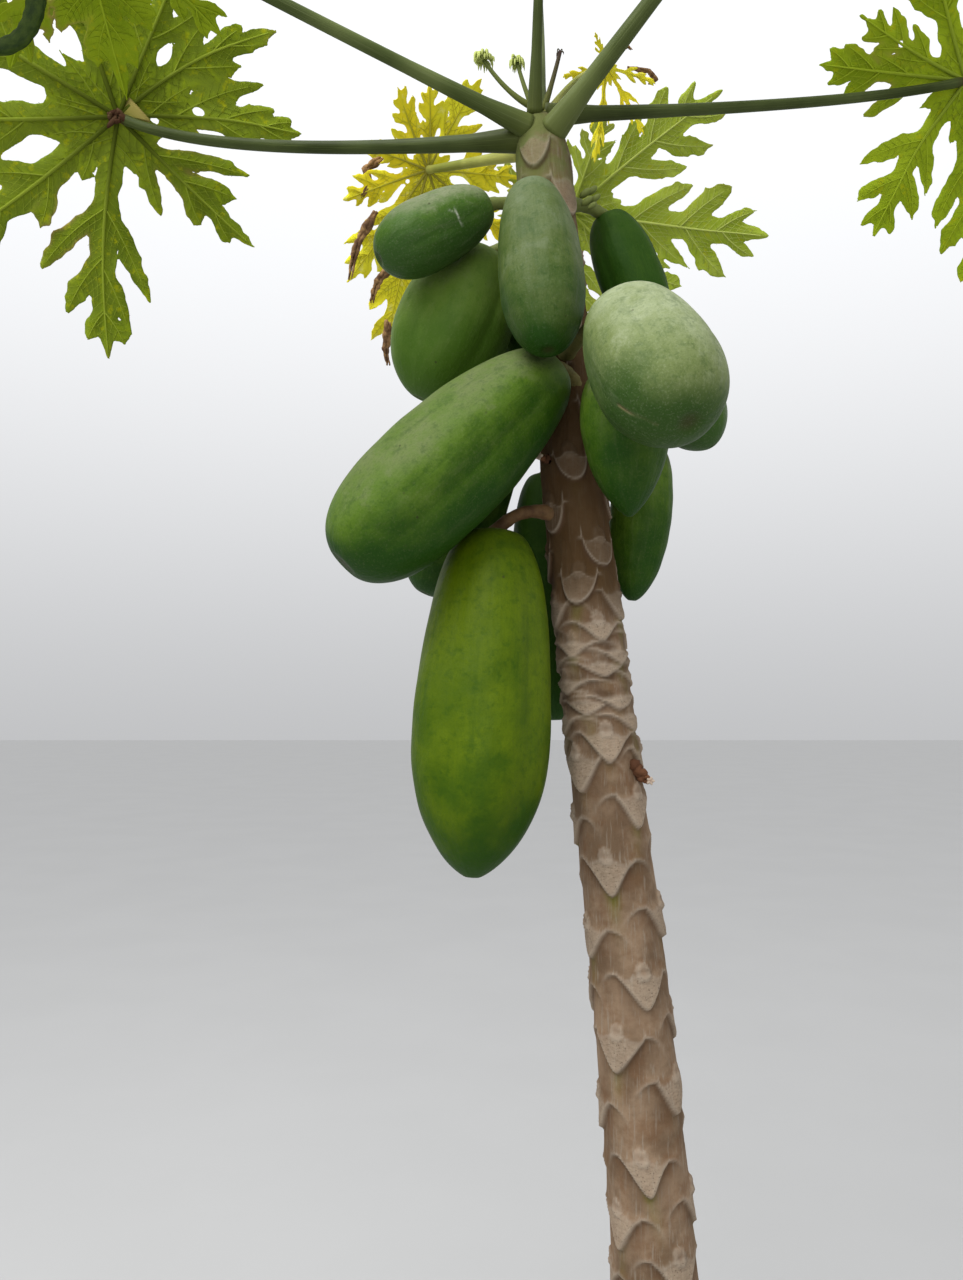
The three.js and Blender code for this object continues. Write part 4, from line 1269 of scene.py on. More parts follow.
def blade_fall(leaf, x, y):
    """How far a flat place of the blade rises or hangs: lobes droop, and fold up a little along their ribs."""
    reach = np.hypot(x, y)
    turn = np.degrees(np.arctan2(y, x))
    turns = np.array([t for t, _ in leaf["lobes"]])
    droops = leaf["droop"] * (1 + DROOP_SPREAD * np.sin(turns))
    droop = np.interp(turn, turns, droops, period=360)
    off = np.abs((turn[:, None] - turns[None, :] + 180) % 360 - 180).min(axis=1)
    lateral = reach * np.sin(np.radians(np.minimum(off, 60)))
    lateral = np.sqrt(lateral**2 + FOLD_ROUNDING**2) - FOLD_ROUNDING
    wave = 0.006 * soft_noise(np.stack([x, y], 1), 0.11, 8) * np.minimum(1, reach / 0.12)
    return -droop * reach**2 / leaf["length"] + BLADE_FOLD * lateral + wave * leaf["length"] / COMMON_LENGTH


def blade_axes(leaf):
    """The blade's own directions as rows: along its middle lobe, across it, and out of its upper side."""
    out = unit(leaf["faces"])
    points = np.array(leaf["points"], float)
    ahead = unit(points - out * (points @ out))
    return np.array([ahead, np.cross(out, ahead), out])


def in_place(leaf, x, y, z):
    """Flat leaf coordinates to places in the tree."""
    return np.array(leaf["hub"]) + np.stack([x, y, z], 1) @ blade_axes(leaf)


def leaf_slot(leaf):
    """The finish slot of a leaf's pieces."""
    return "yellow_leaf" if leaf["colour"] == "yellow" else "leaf"


def make_blade(name, leaf, finishes):
    """One leaf blade: lobes in their own outline, quilted between the veins, with ribs standing out below."""
    lamina, veins = grow_leaf(name, leaf)
    values, faces = lamina.sheet()
    x, y, inside, vein = values.T
    quilt = 0.0032 * (1 - np.exp(-vein / 0.008)) * leaf["length"] / COMMON_LENGTH
    curl = 0.004 * np.exp(-inside / 0.006) * soft_noise(values[:, :2], 0.05, 9)
    z = blade_fall(leaf, x, y) + quilt + curl
    marks = {
        "vein": np.exp(-vein / 0.0035),
        "edge": np.exp(-inside / 0.0018) * smooth_step(soft_noise(values[:, :2], 0.12, 12) * 0.7),
    }
    piece = mesh_piece(f"{name}_leaf_blade", in_place(leaf, x, y, z), faces.tolist(), marks)
    lay_flat_map(piece, values[:, :2])
    settle(piece, leaf_slot(leaf), finishes[:2], f"blade_{name}")
    thicken(piece, BLADE_THICKNESS)
    make_fine_veins(name, leaf, lamina, veins, finishes[2])
    make_ribs(name, leaf, veins, finishes[2])


def lay_flat_map(piece, flat):
    """Keeps the leaf's flat places, in metres, as its texture map."""
    layer = piece.data.uv_layers.new(name="leaf_map")
    corners = np.zeros(len(piece.data.loops), np.int32)
    piece.data.loops.foreach_get("vertex_index", corners)
    layer.data.foreach_set("uv", flat[corners].astype(np.float32).ravel())


def thicken(piece, thickness):
    """Gives a sheet its thickness, with the second finish on the underside."""
    bpy.context.view_layer.objects.active = piece
    solid = piece.modifiers.new("thickness", "SOLIDIFY")
    solid.thickness = thickness
    solid.offset = 0
    solid.material_offset = 1
    solid.material_offset_rim = 1
    bpy.ops.object.modifier_apply(modifier=solid.name)


def fine_veins(lamina, path, gap, longest):
    """Fine veins that leave a vein on both sides and end near the leaf's edge or the next vein."""
    steps = np.linalg.norm(np.diff(path, axis=0), axis=1)
    gone = np.concatenate([[0], np.cumsum(steps)])
    far = np.linspace(0, longest, 24)
    for at in np.arange(1.5 * gap, gone[-1] * 0.95, gap):
        spot = np.array([np.interp(at, gone, path[:, k]) for k in (0, 1)])
        further = np.array([np.interp(at + gap / 2, gone, path[:, k]) for k in (0, 1)])
        ahead = unit(further - spot)
        bow = (far**2)[:, None] * ahead / longest * 0.35
        for side in (-1, 1):
            out = side * np.array([-ahead[1], ahead[0]])
            line = spot + far[:, None] * (0.80 * out + 0.55 * ahead) + bow
            inside, vein = lamina.depth_at(line)
            stop = (inside < 0.002) | ((far > 0.012) & (vein < 0.0025))
            last = int(np.argmax(stop)) if stop.any() else len(far) - 1
            if last > 4:
                yield line[np.linspace(0, last, 5).astype(int)]


# Veins are less pale near the hub: painted shade of the backlit ribs there.
def paleness(leaf, x, y, start):
    """How pale a vein is at places of a leaf: it rises from the hub to half the leaf's length."""
    return smooth_step(np.hypot(x, y) / (0.5 * leaf["length"]) + start)


def make_fine_veins(name, leaf, lamina, veins, finish):
    """The net of fine veins under a blade."""
    bundle = TubeBundle(3)
    scale = leaf["length"] / LONGEST_LENGTH
    for kind, path in veins:
        gap, longest = FINE_VEINS[kind]
        for x, y in (line.T for line in fine_veins(lamina, path, gap * scale, longest * scale)):
            z = blade_fall(leaf, x, y) - BLADE_THICKNESS / 2
            pale = 0.6 + 0.4 * paleness(leaf, x, y, 0)
            bundle.add(in_place(leaf, x, y, z), np.linspace(0.00055, 0.0003, 5), pale)
    settle(bundle.piece(f"{name}_leaf_fine_veins"), leaf_slot(leaf), [finish])


def make_ribs(name, leaf, veins, finish):
    """The ribs and side veins that stand out under a blade."""
    bundle = TubeBundle(6)
    scale = leaf["length"] / LONGEST_LENGTH
    for kind, path in veins:
        rows, thick, thin, end, start = VEIN_TUBES[kind]
        share = np.linspace(0, end, rows)
        spots = np.linspace(0, 1, len(path))
        x, y = (np.interp(share, spots, path[:, k]) for k in (0, 1))
        radius = (thin + (thick - thin) * (1 - share) ** 0.85) * scale
        z = blade_fall(leaf, x, y) - BLADE_THICKNESS / 2 - 0.35 * radius
        bundle.add(in_place(leaf, x, y, z), radius, paleness(leaf, x, y, start))
    settle(bundle.piece(f"{name}_leaf_ribs"), leaf_slot(leaf), [finish])


# Young growth


def make_young(name, young, stalk, leaf):
    """A young leaf: a thin stalk with narrow folded lobes that hang from its tip."""
    stalks = TubeBundle(12)
    share = np.linspace(0, 1, 24)
    radius = YOUNG_STALK_RADIUS * np.interp(share, [0, 0.5, 1], [1.4, 0.95, 0.75])
    stalks.add(along_curve(young["foot"], young["bend"], young["tip"], share), radius, share)
    settle(stalks.piece(f"{name}_stalk"), "young_leaf", [stalk], name)
    tuft = TubeBundle(5)
    rng = np.random.default_rng(len(name))
    tip = np.array(young["tip"])
    for k in range(young["lobes"]):
        turn = FULL_TURN * (k + 0.3 * rng.uniform()) / young["lobes"]
        out = np.array([math.cos(turn), math.sin(turn), 0])
        reach = young["fold"] * rng.uniform(0.75, 1.1)
        high = tip + out * reach * 0.6 + UP * reach * rng.uniform(0.5, 1.5)
        end = tip + out * reach * 1.1 - UP * young["long"] * rng.uniform(0.10, 0.75)
        t = np.linspace(0, 1, 12)
        thick = young["fold"] * 0.21 * np.interp(t, [0, 0.6, 1], [0.5, 1, 0.15])
        thick = thick * (1 + 0.14 * np.sin(t * 30 + k))
        tuft.add(along_curve(tip, high + out * reach * 0.5, end, t), thick, t)
    settle(tuft.piece(f"{name}_lobes"), "young_leaf", [leaf])


# Fruit


def fruit_width(fruit, share):
    """The share of its greatest radius that a fruit has at each share of its length."""
    top = np.clip(1 - np.clip(1 - share / fruit["belly"], 0, 1) ** TOP_POWER, 0, 1) ** fruit["shoulder"]
    low = np.clip((share - fruit["belly"]) / (1 - fruit["belly"]), 0, 1)
    tip = np.clip(1 - low**TIP_POWER, 0, 1) ** fruit["point"]
    return np.where(share < fruit["belly"], top, tip)


def blemish(name, kind, places):
    """How much each place of a fruit lies on one of its blemishes of one kind."""
    mark = np.zeros(len(places))
    for owner, found, line, wide in BLEMISHES:
        if owner != name or found != kind:
            continue
        for start, end in zip(np.array(line), np.array(line[1:])):
            share = np.clip((places - start) @ (end - start) / ((end - start) @ (end - start)), 0, 1)
            far = np.linalg.norm(places - start - share[:, None] * (end - start), axis=1)
            mark = np.maximum(mark, band(far, wide))
    return mark


def make_fruit(name, fruit, finish, seed):
    """One fruit: a smooth waxy body with five faint ridges, a sunk stem end and a small blossom end."""
    top, tip = np.array(fruit["top"]), np.array(fruit["tip"])
    long = np.linalg.norm(tip - top)
    ahead = (tip - top) / long
    side = unit(np.cross(ahead, [0.3, 1, 0.2]))
    out = np.cross(side, ahead)

    def shape(around, along):
        turns = around * FULL_TURN
        share = (1 - np.cos(along * math.pi)) / 2
        middle = np.clip(np.sin(share * math.pi), 0, 1)
        wide = fruit_width(fruit, share)
        crease = np.sqrt(np.cos(2.5 * turns + seed) ** 2 + 0.012) - 0.62
        wide = wide * (1 + fruit.get("ridge", 0.05) * crease * middle**0.6)
        ball = np.stack([np.cos(turns) * wide, np.sin(turns) * wide, share * long / fruit["radius"]], 1)
        wide = wide * (1 + 0.020 * soft_noise(ball, 1.5, seed) + 0.008 * soft_noise(ball, 0.5, seed + 50))
        pull = 0.012 * band(share, 0.02) - 0.003 * band(1 - share, 0.004) / long
        centre = top + (share + pull)[:, None] * long * ahead
        reach = (wide * fruit["radius"])[:, None]
        places = centre + reach * (np.cos(turns)[:, None] * side + np.sin(turns)[:, None] * out)
        marks = {
            "stem_end": np.exp(-(((share + 0.001) / 0.02) ** 1.5)),
            "blossom_end": np.exp(-np.clip(1 - share, 0, 1) / 0.0022),
            "belt": middle,
            "crack": blemish(name, "crack", places),
            "drop": blemish(name, "drop", places),
        }
        return places, marks

    piece = rolled_skin(f"{name}_fruit", FRUIT_AROUND, FRUIT_ROWS, shape)
    settle(piece, "fruit", [finish], f"fruit_{name}")


def make_fruit_stalks(settings):
    """The corky stalks that carry the fruit, with the swollen joint where each meets its fruit."""
    bundle = TubeBundle(16)
    for fruit in FRUITS.values():
        top, tip = np.array(fruit["top"]), np.array(fruit["tip"])
        start = on_trunk(*fruit["start"], 0.75)
        middle = on_trunk(*fruit["start"], 1) * 0.45 + top * 0.55 + UP * fruit["rise"]
        end = top + unit(tip - top) * FRUIT_STALK_RADIUS * 1.2
        share = np.linspace(0, 1, FRUIT_STALK_ROWS)
        wide = np.interp(share, [0, 0.2, 0.35, 0.6, 0.85, 1], [1.35, 1.12, 0.95, 0.9, 1.0, 1.25])
        wide = wide + 0.05 * np.sin(share * 37) * np.sin(share * 11)
        young = np.full(FRUIT_STALK_ROWS, float(smooth_step((top[2] - CORKY_BELOW) / GREENING_SPAN)))
        bundle.add(even_curve(start, middle, end, FRUIT_STALK_ROWS), FRUIT_STALK_RADIUS * wide, young)
    settle(bundle.piece("fruit_stalks"), "fruit", [fruit_stalk_finish(settings)])


# Small details: withered tips, the curled lobe, stubs, buds and the left leaf's hub


def crumpled(line, wide, seed):
    """A line of centres through a few places, and crumpled radii that thin out to its end."""
    line = np.array(line, float)
    share = np.linspace(0, 1, 26)
    knots = np.linspace(0, 1, len(line))
    centres = np.stack([np.interp(share, knots, line[:, k]) for k in range(3)], 1)
    spots = share[:, None] * np.array([[9.0, 4.0]])
    for axis in range(3):
        centres[:, axis] += 0.25 * wide * soft_noise(spots, 1.0, seed + axis)
    radii = wide * np.interp(share, [0, 0.15, 0.6, 1], [0.5, 1, 0.7, 0.25])
    radii = radii * (1 + 0.35 * soft_noise(spots, 0.8, seed + 7))
    return centres, np.maximum(radii, 0.12 * wide), share


def make_withered(settings):
    """The brown shrivelled tips of the dying leaves."""
    bundle = TubeBundle(7)
    for number, (wide, line) in enumerate(WITHERED_TIPS):
        for strand in range(3):
            shift = 0.35 * wide * np.array([math.cos(2.1 * strand), math.sin(2.1 * strand), 0.3 * strand])
            bundle.add(*crumpled(np.array(line) + shift, 0.55 * wide, 31 * number + strand))
    settle(bundle.piece("withered_leaf_tips"), "yellow_leaf", [dry_finish(settings)])


def make_curl(finish):
    """A dark glossy lobe of the upper left leaf that curls over and shows its upper side."""
    line = even_curve(*CURL_LINE, CURL_ROWS + 1)
    back = np.array([0.0, 1.0, 0.0])
    out = np.cross(directions(line), back)
    out /= np.linalg.norm(out, axis=1)[:, None]

    def shape(around, along):
        row = np.rint(along * CURL_ROWS).astype(int)
        share = row / CURL_ROWS
        turn = around * FULL_TURN
        wide = CURL_WIDTH / 2 * np.sqrt(np.clip(1 - np.abs(2 * share - 1) ** 6, 0, 1))
        wide = wide * (1 + 0.04 * np.sin(share * 50))
        flat = wide * np.cos(turn)
        lift = 0.35 * wide * np.sqrt(np.clip(1 - (flat / np.maximum(wide, 1e-6)) ** 2, 0, 1))
        thick = lift - (np.sin(turn) < 0) * 0.0008
        return line[row] + flat[:, None] * out[row] - thick[:, None] * back, {}

    settle(rolled_skin("upper_left_curled_lobe", CURL_AROUND, CURL_ROWS, shape), "leaf", [finish])


def make_hub(leaf, stalk):
    """The knobbly reddish-brown hub of the left leaf and the thin tan skin beside it."""
    rng = np.random.default_rng(5)
    hub = np.array(LEAVES["left"]["hub"])
    strands = TubeBundle(8)
    radii = HUB_STRAND_RADIUS * np.sqrt(1 - np.linspace(-0.92, 0.92, 6) ** 2)
    for number in range(HUB_STRANDS):
        turn = FULL_TURN * number / HUB_STRANDS
        out = np.array([math.cos(turn) * 0.012, -0.008, math.sin(turn) * 0.007 - 0.006])
        place = hub + out * rng.uniform(0.4, 1.1)
        centres = place + np.linspace(-1, 1, 6)[:, None] * rng.normal(0, 0.004, 3)
        strands.add(centres, radii, np.linspace(0, 1, 6) * rng.uniform())
    knobbly = rib_finish("hub_skin", stalk.stalk_knot, stalk.hub_light)
    settle(strands.piece("left_leaf_hub"), "stalk", [knobbly])
    skin = TubeBundle(6)
    share = np.linspace(0, 1, 8)
    for number in np.linspace(0, 8, HUB_SKIN_STRANDS):
        tip = hub + np.array([0.014 + 0.004 * number, -0.004, 0.030 - 0.0048 * number])
        line = along_curve(hub, (hub + tip) / 2 + UP * 0.004, tip, share)
        skin.add(line, np.full(8, HUB_SKIN_RADIUS), share)
    settle(skin.piece("left_leaf_hub_skin"), "leaf", [rib_finish("tan_skin", leaf.tan_root, leaf.tan_tip)])


def make_stubs(bark, fruit):
    """Broken flower stalks with pale ends, small dry stubs and the green buds beside the top right fruit."""
    dry = TubeBundle(10)
    for number, (line, wide) in enumerate(DRY_STUBS):
        dry.add(*crumpled(line, wide, 70 + number))
    settle(dry.piece("dry_stubs"), "bark", [rib_finish("dry_stub_skin", bark.stub_dark, bark.stub_light)])
    pale = TubeBundle(8)
    share = np.linspace(0, 1, 5)
    splinter = np.array([0.4, 0.5, 0.45, 0.3, 0.12])
    for place, size in PALE_ENDS:
        for turn in np.arange(5) * 1.257:
            out = np.array([math.cos(turn), -0.6, math.sin(turn)]) * size
            pale.add(np.array(place) + share[:, None] * out, size * splinter, share)
    settle(pale.piece("pale_stub_ends"), "bark", [rib_finish("pale_stub_end", bark.end_dark, bark.end_light)])
    green = TubeBundle(10)
    steps = np.linspace(-1, 1, 9)
    for place, size in BUDS:
        end = np.array(place) + np.array([1.0, -0.5, 0.6]) * size
        centres = np.array(place) + (steps[:, None] + 1) / 2 * (end - place)
        green.add(centres, size * 0.34 * np.sqrt(1 - (0.97 * steps) ** 2), np.ones(9))
    settle(green.piece("flower_buds"), "fruit", [fruit_stalk_finish(fruit)])


# Settings that a user would change


def tint(name, description, default):
    """A colour setting."""
    return bpy.props.FloatVectorProperty(
        name=name, description=description, subtype="COLOR", size=3, min=0, max=1, default=default
    )


class BarkSettings(bpy.types.PropertyGroup):
    """Colours of the trunk."""

    bark_light: tint("Bark light", "Lighter grey-brown of the bark", (0.258, 0.178, 0.114))
    bark_dark: tint("Bark dark", "Darker brown of the bark", (0.142, 0.093, 0.056))
    bark_red: tint("Bark red", "Reddish brown patches", (0.158, 0.084, 0.042))
    bark_streak: tint("Bark streak", "Pale fine lines down the bark", (0.300, 0.260, 0.205))
    # The next colour is painted shade in the hollows and along the scars' lower edges, and also the colour of
    # the dark pits.
    bark_shade_and_pits: tint("Bark hollow", "Shaded brown under the scars", (0.074, 0.040, 0.021))
    # Painted shade of the fruit on the stem among them.
    bark_fruit_shade: tint("Bark umber", "Dark brown painted shade of the stem among the fruit", (0.060, 0.032, 0.011))
    bark_green: tint("Bark green", "Green patches under the scars' tips", (0.110, 0.115, 0.010))
    bark_young: tint("Young stem", "Green of the young stem at the top", (0.105, 0.125, 0.035))
    scar_light: tint("Scar light", "Pale beige of a leaf scar", (0.380, 0.305, 0.225))
    scar_dark: tint("Scar dark", "Darker grain of a leaf scar", (0.230, 0.180, 0.130))
    scar_rim: tint("Scar rim", "Light rim round a leaf scar", (0.420, 0.360, 0.285))
    stub_dark: tint("Stub dark", "Darker brown of the dry stubs", (0.060, 0.026, 0.014))
    stub_light: tint("Stub light", "Lighter brown of the dry stubs", (0.20, 0.09, 0.045))
    end_dark: tint("End dark", "Darker part of a stub's pale end", (0.30, 0.20, 0.15))
    end_light: tint("End light", "Lighter part of a stub's pale end", (0.55, 0.46, 0.36))


class StalkSettings(bpy.types.PropertyGroup):
    """Colours of the leaf stalks and the young growth."""

    stalk_light: tint("Stalk light", "Lighter green of the leaf stalks", (0.122, 0.152, 0.047))
    stalk_dark: tint("Stalk dark", "Darker green of the leaf stalks", (0.060, 0.082, 0.020))
    stalk_streak: tint("Stalk streak", "Pale streaks along the stalks", (0.170, 0.200, 0.080))
    shaded_light: tint("Shaded light", "Lighter green of the shaded stalks", (0.060, 0.080, 0.022))
    shaded_dark: tint("Shaded dark", "Darker green of the shaded stalks", (0.030, 0.042, 0.009))
    stalk_foot: tint("Stalk foot", "Yellower green of a stalk's foot", (0.110, 0.125, 0.028))
    dying_light: tint("Yellow stalk light", "Lighter part of a dying leaf's stalk", (0.42, 0.42, 0.10))
    dying_dark: tint("Yellow stalk dark", "Darker part of a dying leaf's stalk", (0.20, 0.22, 0.04))
    stalk_knot: tint("Stalk knot", "Reddish brown where the blade begins", (0.060, 0.026, 0.014))
    hub_light: tint("Hub light", "Lighter brown of the left leaf's hub", (0.13, 0.08, 0.04))
    purple_stalk: tint("Purple stalk", "Tip of the bare young stalk", (0.05, 0.022, 0.035))
    young_root: tint("Young root", "Deeper green where a young leaf begins", (0.34, 0.40, 0.11))
    young_leaf: tint("Young leaf", "Pale yellow-green of the young leaves", (0.62, 0.68, 0.22))


class LeafSettings(bpy.types.PropertyGroup):
    """Colours of the leaves."""

    under_deep: tint("Underside deep", "Deeper green of the underside", (0.126, 0.180, 0.014))
    under_bright: tint("Underside bright", "Brighter green of the underside", (0.216, 0.282, 0.026))
    under_fleck: tint("Underside fleck", "Yellow flecks of the underside", (0.42, 0.43, 0.010))
    upper_deep: tint("Upper deep", "Deeper green of the upper side", (0.022, 0.060, 0.006))
    upper_bright: tint("Upper bright", "Brighter green of the upper side", (0.055, 0.110, 0.010))
    vein: tint("Vein", "Pale green beside the veins", (0.26, 0.34, 0.010))
    # The rib root's dark olive is painted shade of the backlit rib near the hub.
    rib_root: tint("Rib root", "Dark olive of a rib near the hub", (0.060, 0.080, 0.006))
    rib_tip: tint("Rib tip", "Pale yellow-green of a rib's far part", (0.30, 0.38, 0.035))
    # The dying leaf's underside yellows sit near full brightness, partly as painted light for the sky shining
    # through the leaf.
    yellow_deep: tint("Yellow deep", "Orange yellow of the dying leaf", (0.93, 0.72, 0.018))
    yellow_bright: tint("Yellow bright", "Greenish yellow of the dying leaf", (0.96, 0.93, 0.050))
    yellow_fleck: tint("Yellow fleck", "Paler flecks of the dying leaf", (0.95, 0.92, 0.30))
    yellow_top_deep: tint("Yellow top deep", "Orange yellow of its upper side", (0.560, 0.390, 0.014))
    yellow_top_bright: tint("Yellow top bright", "Plain yellow of its upper side", (0.640, 0.560, 0.030))
    yellow_vein: tint("Yellow vein", "Skin beside the dying leaf's veins", (0.66, 0.60, 0.030))
    yellow_rib: tint("Yellow rib", "Yellow-brown rib of the dying leaf", (0.30, 0.27, 0.04))
    bright_deep: tint("Bright deep", "Deeper green of the hanging leaf", (0.228, 0.328, 0.012))
    bright_light: tint("Bright light", "Lighter green of the hanging leaf", (0.345, 0.450, 0.022))
    # The lit colours are a lighter copy of the underside green: painted light for the sky light through the
    # back leaf.
    lit_deep: tint("Lit deep", "Deeper green of the paler leaf", (0.245, 0.335, 0.018))
    lit_bright: tint("Lit bright", "Brighter green of the paler leaf", (0.385, 0.470, 0.058))
    lit_vein: tint("Lit vein", "Yellow-green veins of the paler leaf", (0.390, 0.470, 0.075))
    lit_rib_root: tint("Lit rib root", "Green of the paler leaf's ribs near the hub", (0.300, 0.365, 0.050))
    lit_rib_tip: tint("Lit rib tip", "Pale green of the paler leaf's far ribs", (0.500, 0.575, 0.140))
    curl_deep: tint("Curl deep", "Deeper green of the curled lobe", (0.012, 0.030, 0.003))
    curl_light: tint("Curl light", "Lighter green of the curled lobe", (0.045, 0.075, 0.008))
    tan_root: tint("Tan root", "Greener part of the thin skin at the hub", (0.20, 0.20, 0.03))
    tan_tip: tint("Tan tip", "Browner part of the thin skin at the hub", (0.36, 0.29, 0.09))
    dry_light: tint("Dry light", "Lighter brown of withered tips", (0.36, 0.21, 0.09))
    dry_dark: tint("Dry dark", "Darker brown of withered tips", (0.10, 0.05, 0.025))


class FruitSettings(bpy.types.PropertyGroup):
    """Colours of the fruit and of what carries it."""

    # Each fruit's low colour is painted shade on its lower side and also darkens its patches; its top colour
    # is mostly a waxy coat with painted sky light on the upper side, and also pales its patches.
    low: tint("Shaded green", "Deep green of a fruit's lower side", (0.013, 0.052, 0.002))
    shaded_body: tint("Shaded body", "Green of the fruit in the shade", (0.026, 0.068, 0.005))
    dark_low: tint("Dark shade", "Lower side of the darkest fruit", (0.032, 0.080, 0.012))
    dark_body: tint("Dark body", "Green of the darkest fruit", (0.054, 0.120, 0.009))
    dark_top: tint("Dark top", "Bloom on the darkest fruit", (0.240, 0.255, 0.155))
    mid_body: tint("Middle body", "Green of the common fruit", (0.076, 0.142, 0.009))
    mid_top: tint("Middle top", "Bloom on the common fruit", (0.150, 0.176, 0.074))
    # The soft colours are a lighter copy of the fruit green: painted light on the fruit behind, against the
    # shade of the fruit round it.
    soft_body: tint("Soft body", "Green of the fruit behind", (0.120, 0.204, 0.028))
    soft_top: tint("Soft top", "Bloom on the fruit behind", (0.165, 0.205, 0.075))
    blue_body: tint("Bluish body", "Green of the bluish fruit", (0.078, 0.112, 0.026))
    blue_top: tint("Bluish top", "Bloom on the bluish fruit", (0.150, 0.185, 0.104))
    pale_low: tint("Pale shade", "Lower side of the palest fruit", (0.030, 0.070, 0.010))
    pale_body: tint("Pale body", "Green of the palest fruit", (0.148, 0.190, 0.060))
    pale_top: tint("Pale top", "Bloom on the palest fruit", (0.325, 0.365, 0.225))
    ripe_low: tint("Ripening shade", "Deeper green of the lowest fruit", (0.016, 0.056, 0.000))
    ripe_body: tint("Ripening body", "Yellower green of the lowest fruit", (0.090, 0.138, 0.000))
    # Painted shade: the lowest fruit's upper side is darker, for the shade of the fruit above it.
    ripe_top: tint("Ripening top", "Upper side of the lowest fruit", (0.034, 0.070, 0.002))
    pock: tint("Pock", "Small dark pocks in the skin", (0.030, 0.026, 0.010))
    crack: tint("Crack", "Corky skin of a healed crack", (0.215, 0.175, 0.085))
    drop: tint("Drop", "Dried drop of sap", (0.50, 0.52, 0.42))
    blossom_end: tint("Blossom end", "Dark spot at a fruit's tip", (0.045, 0.035, 0.012))
    stem_end: tint("Stem end", "Corky ring where the stalk meets the fruit", (0.10, 0.095, 0.025))
    peduncle_light: tint("Stalk light", "Yellow-brown of a fruit's stalk", (0.165, 0.090, 0.035))
    peduncle_dark: tint("Stalk dark", "Brown of a fruit's stalk", (0.080, 0.038, 0.014))
    peduncle_young: tint("Young stalk", "Green of the young fruit's stalks", (0.155, 0.190, 0.045))
    peduncle_cork: tint("Stalk cork", "Green spots of a fruit's stalk", (0.100, 0.110, 0.030))


class StageSettings(bpy.types.PropertyGroup):
    """The floor and the light."""

    floor: tint("Floor", "Pale floor", (0.455, 0.455, 0.450))
    floor_light: tint("Floor light", "Lighter patches of the floor", (0.465, 0.465, 0.460))
    sky: tint("Sky", "Colour of the sky's light", (0.97, 0.98, 1))
    floor_size: bpy.props.FloatProperty(
        name="Floor size", description="Side of the floor", default=60, min=4, unit="LENGTH"
    )
    sky_strength: bpy.props.FloatProperty(
        name="Sky strength", description="Light from the sky above", default=1.08, min=0
    )
    side_strength: bpy.props.FloatProperty(
        name="Side strength", description="Light from low all round", default=0.52, min=0
    )


class PAPAYA_OT_stage(bpy.types.Operator):
    """Lay the floor and set the camera and the lights"""

    bl_idname = "papaya.stage"
    bl_label = "Stage"

    def execute(self, context):
        settings = context.scene.papaya_stage
        bpy.ops.object.select_all(action="DESELECT")
        bpy.ops.mesh.primitive_plane_add(size=settings.floor_size, location=(0, 10, 0))
        floor = context.active_object
        floor.name = "floor"
        bpy.ops.object.transform_apply(location=True, rotation=False, scale=False)
        made = Finish("pale_floor", 0.9, 0.1)
        made.colour(made.mix(made.span(made.noise(1.5, 3), 0.3, 0.7), settings.floor, settings.floor_light))
        floor.data.materials.append(made.material)
        self.add_camera(context)
        self.add_lights(context, settings)
        return {"FINISHED"}

    def add_camera(self, context):
        """The photograph's camera."""
        bpy.ops.object.camera_add(location=CAMERA_PLACE, rotation=(math.pi / 2 + CAMERA_PITCH, 0, 0))
        camera = context.active_object
        camera.name = "photo_camera"
        camera.data.sensor_width = CAMERA_SENSOR
        camera.data.lens = CAMERA_LENS
        camera.data.clip_end = 100
        context.scene.camera = camera

    def add_lights(self, context, settings):
        """An even bright sky, a soft light above at the left and a weak one from behind the camera."""
        world = bpy.data.worlds.new("bright_sky")
        world.use_nodes = True
        tree = world.node_tree
        sky = tree.nodes["Background"]
        sky.inputs["Color"].default_value = (*settings.sky, 1)
        where = tree.nodes.new("ShaderNodeTexCoord")
        parts = tree.nodes.new("ShaderNodeSeparateXYZ")
        fade = tree.nodes.new("ShaderNodeMapRange")
        fade.interpolation_type = "SMOOTHSTEP"
        fade.inputs["From Min"].default_value = -0.15
        fade.inputs["From Max"].default_value = 0.60
        fade.inputs["To Min"].default_value = settings.side_strength
        fade.inputs["To Max"].default_value = settings.sky_strength
        tree.links.new(where.outputs["Generated"], parts.inputs["Vector"])
        tree.links.new(parts.outputs["Z"], fade.inputs["Value"])
        tree.links.new(fade.outputs["Result"], sky.inputs["Strength"])
        context.scene.world = world
        context.scene.view_settings.view_transform = "Standard"
        for name, light in LIGHTS.items():
            self.area_light(name, *light)

    def area_light(self, name, place, target, size, power):
        """A square soft light that looks at a target."""
        bpy.ops.object.light_add(type="AREA", location=place)
        light = bpy.context.active_object
        light.name = name
        light.data.size = size
        light.data.energy = power
        light.rotation_euler = (Vector(target) - Vector(place)).to_track_quat("-Z", "Y").to_euler()


class PAPAYA_OT_trunk(bpy.types.Operator):
    """Make the trunk's bark with its leaf scars"""

    bl_idname = "papaya.trunk"
    bl_label = "Trunk"

    def execute(self, context):
        make_trunk(context.scene.papaya_bark)
        return {"FINISHED"}


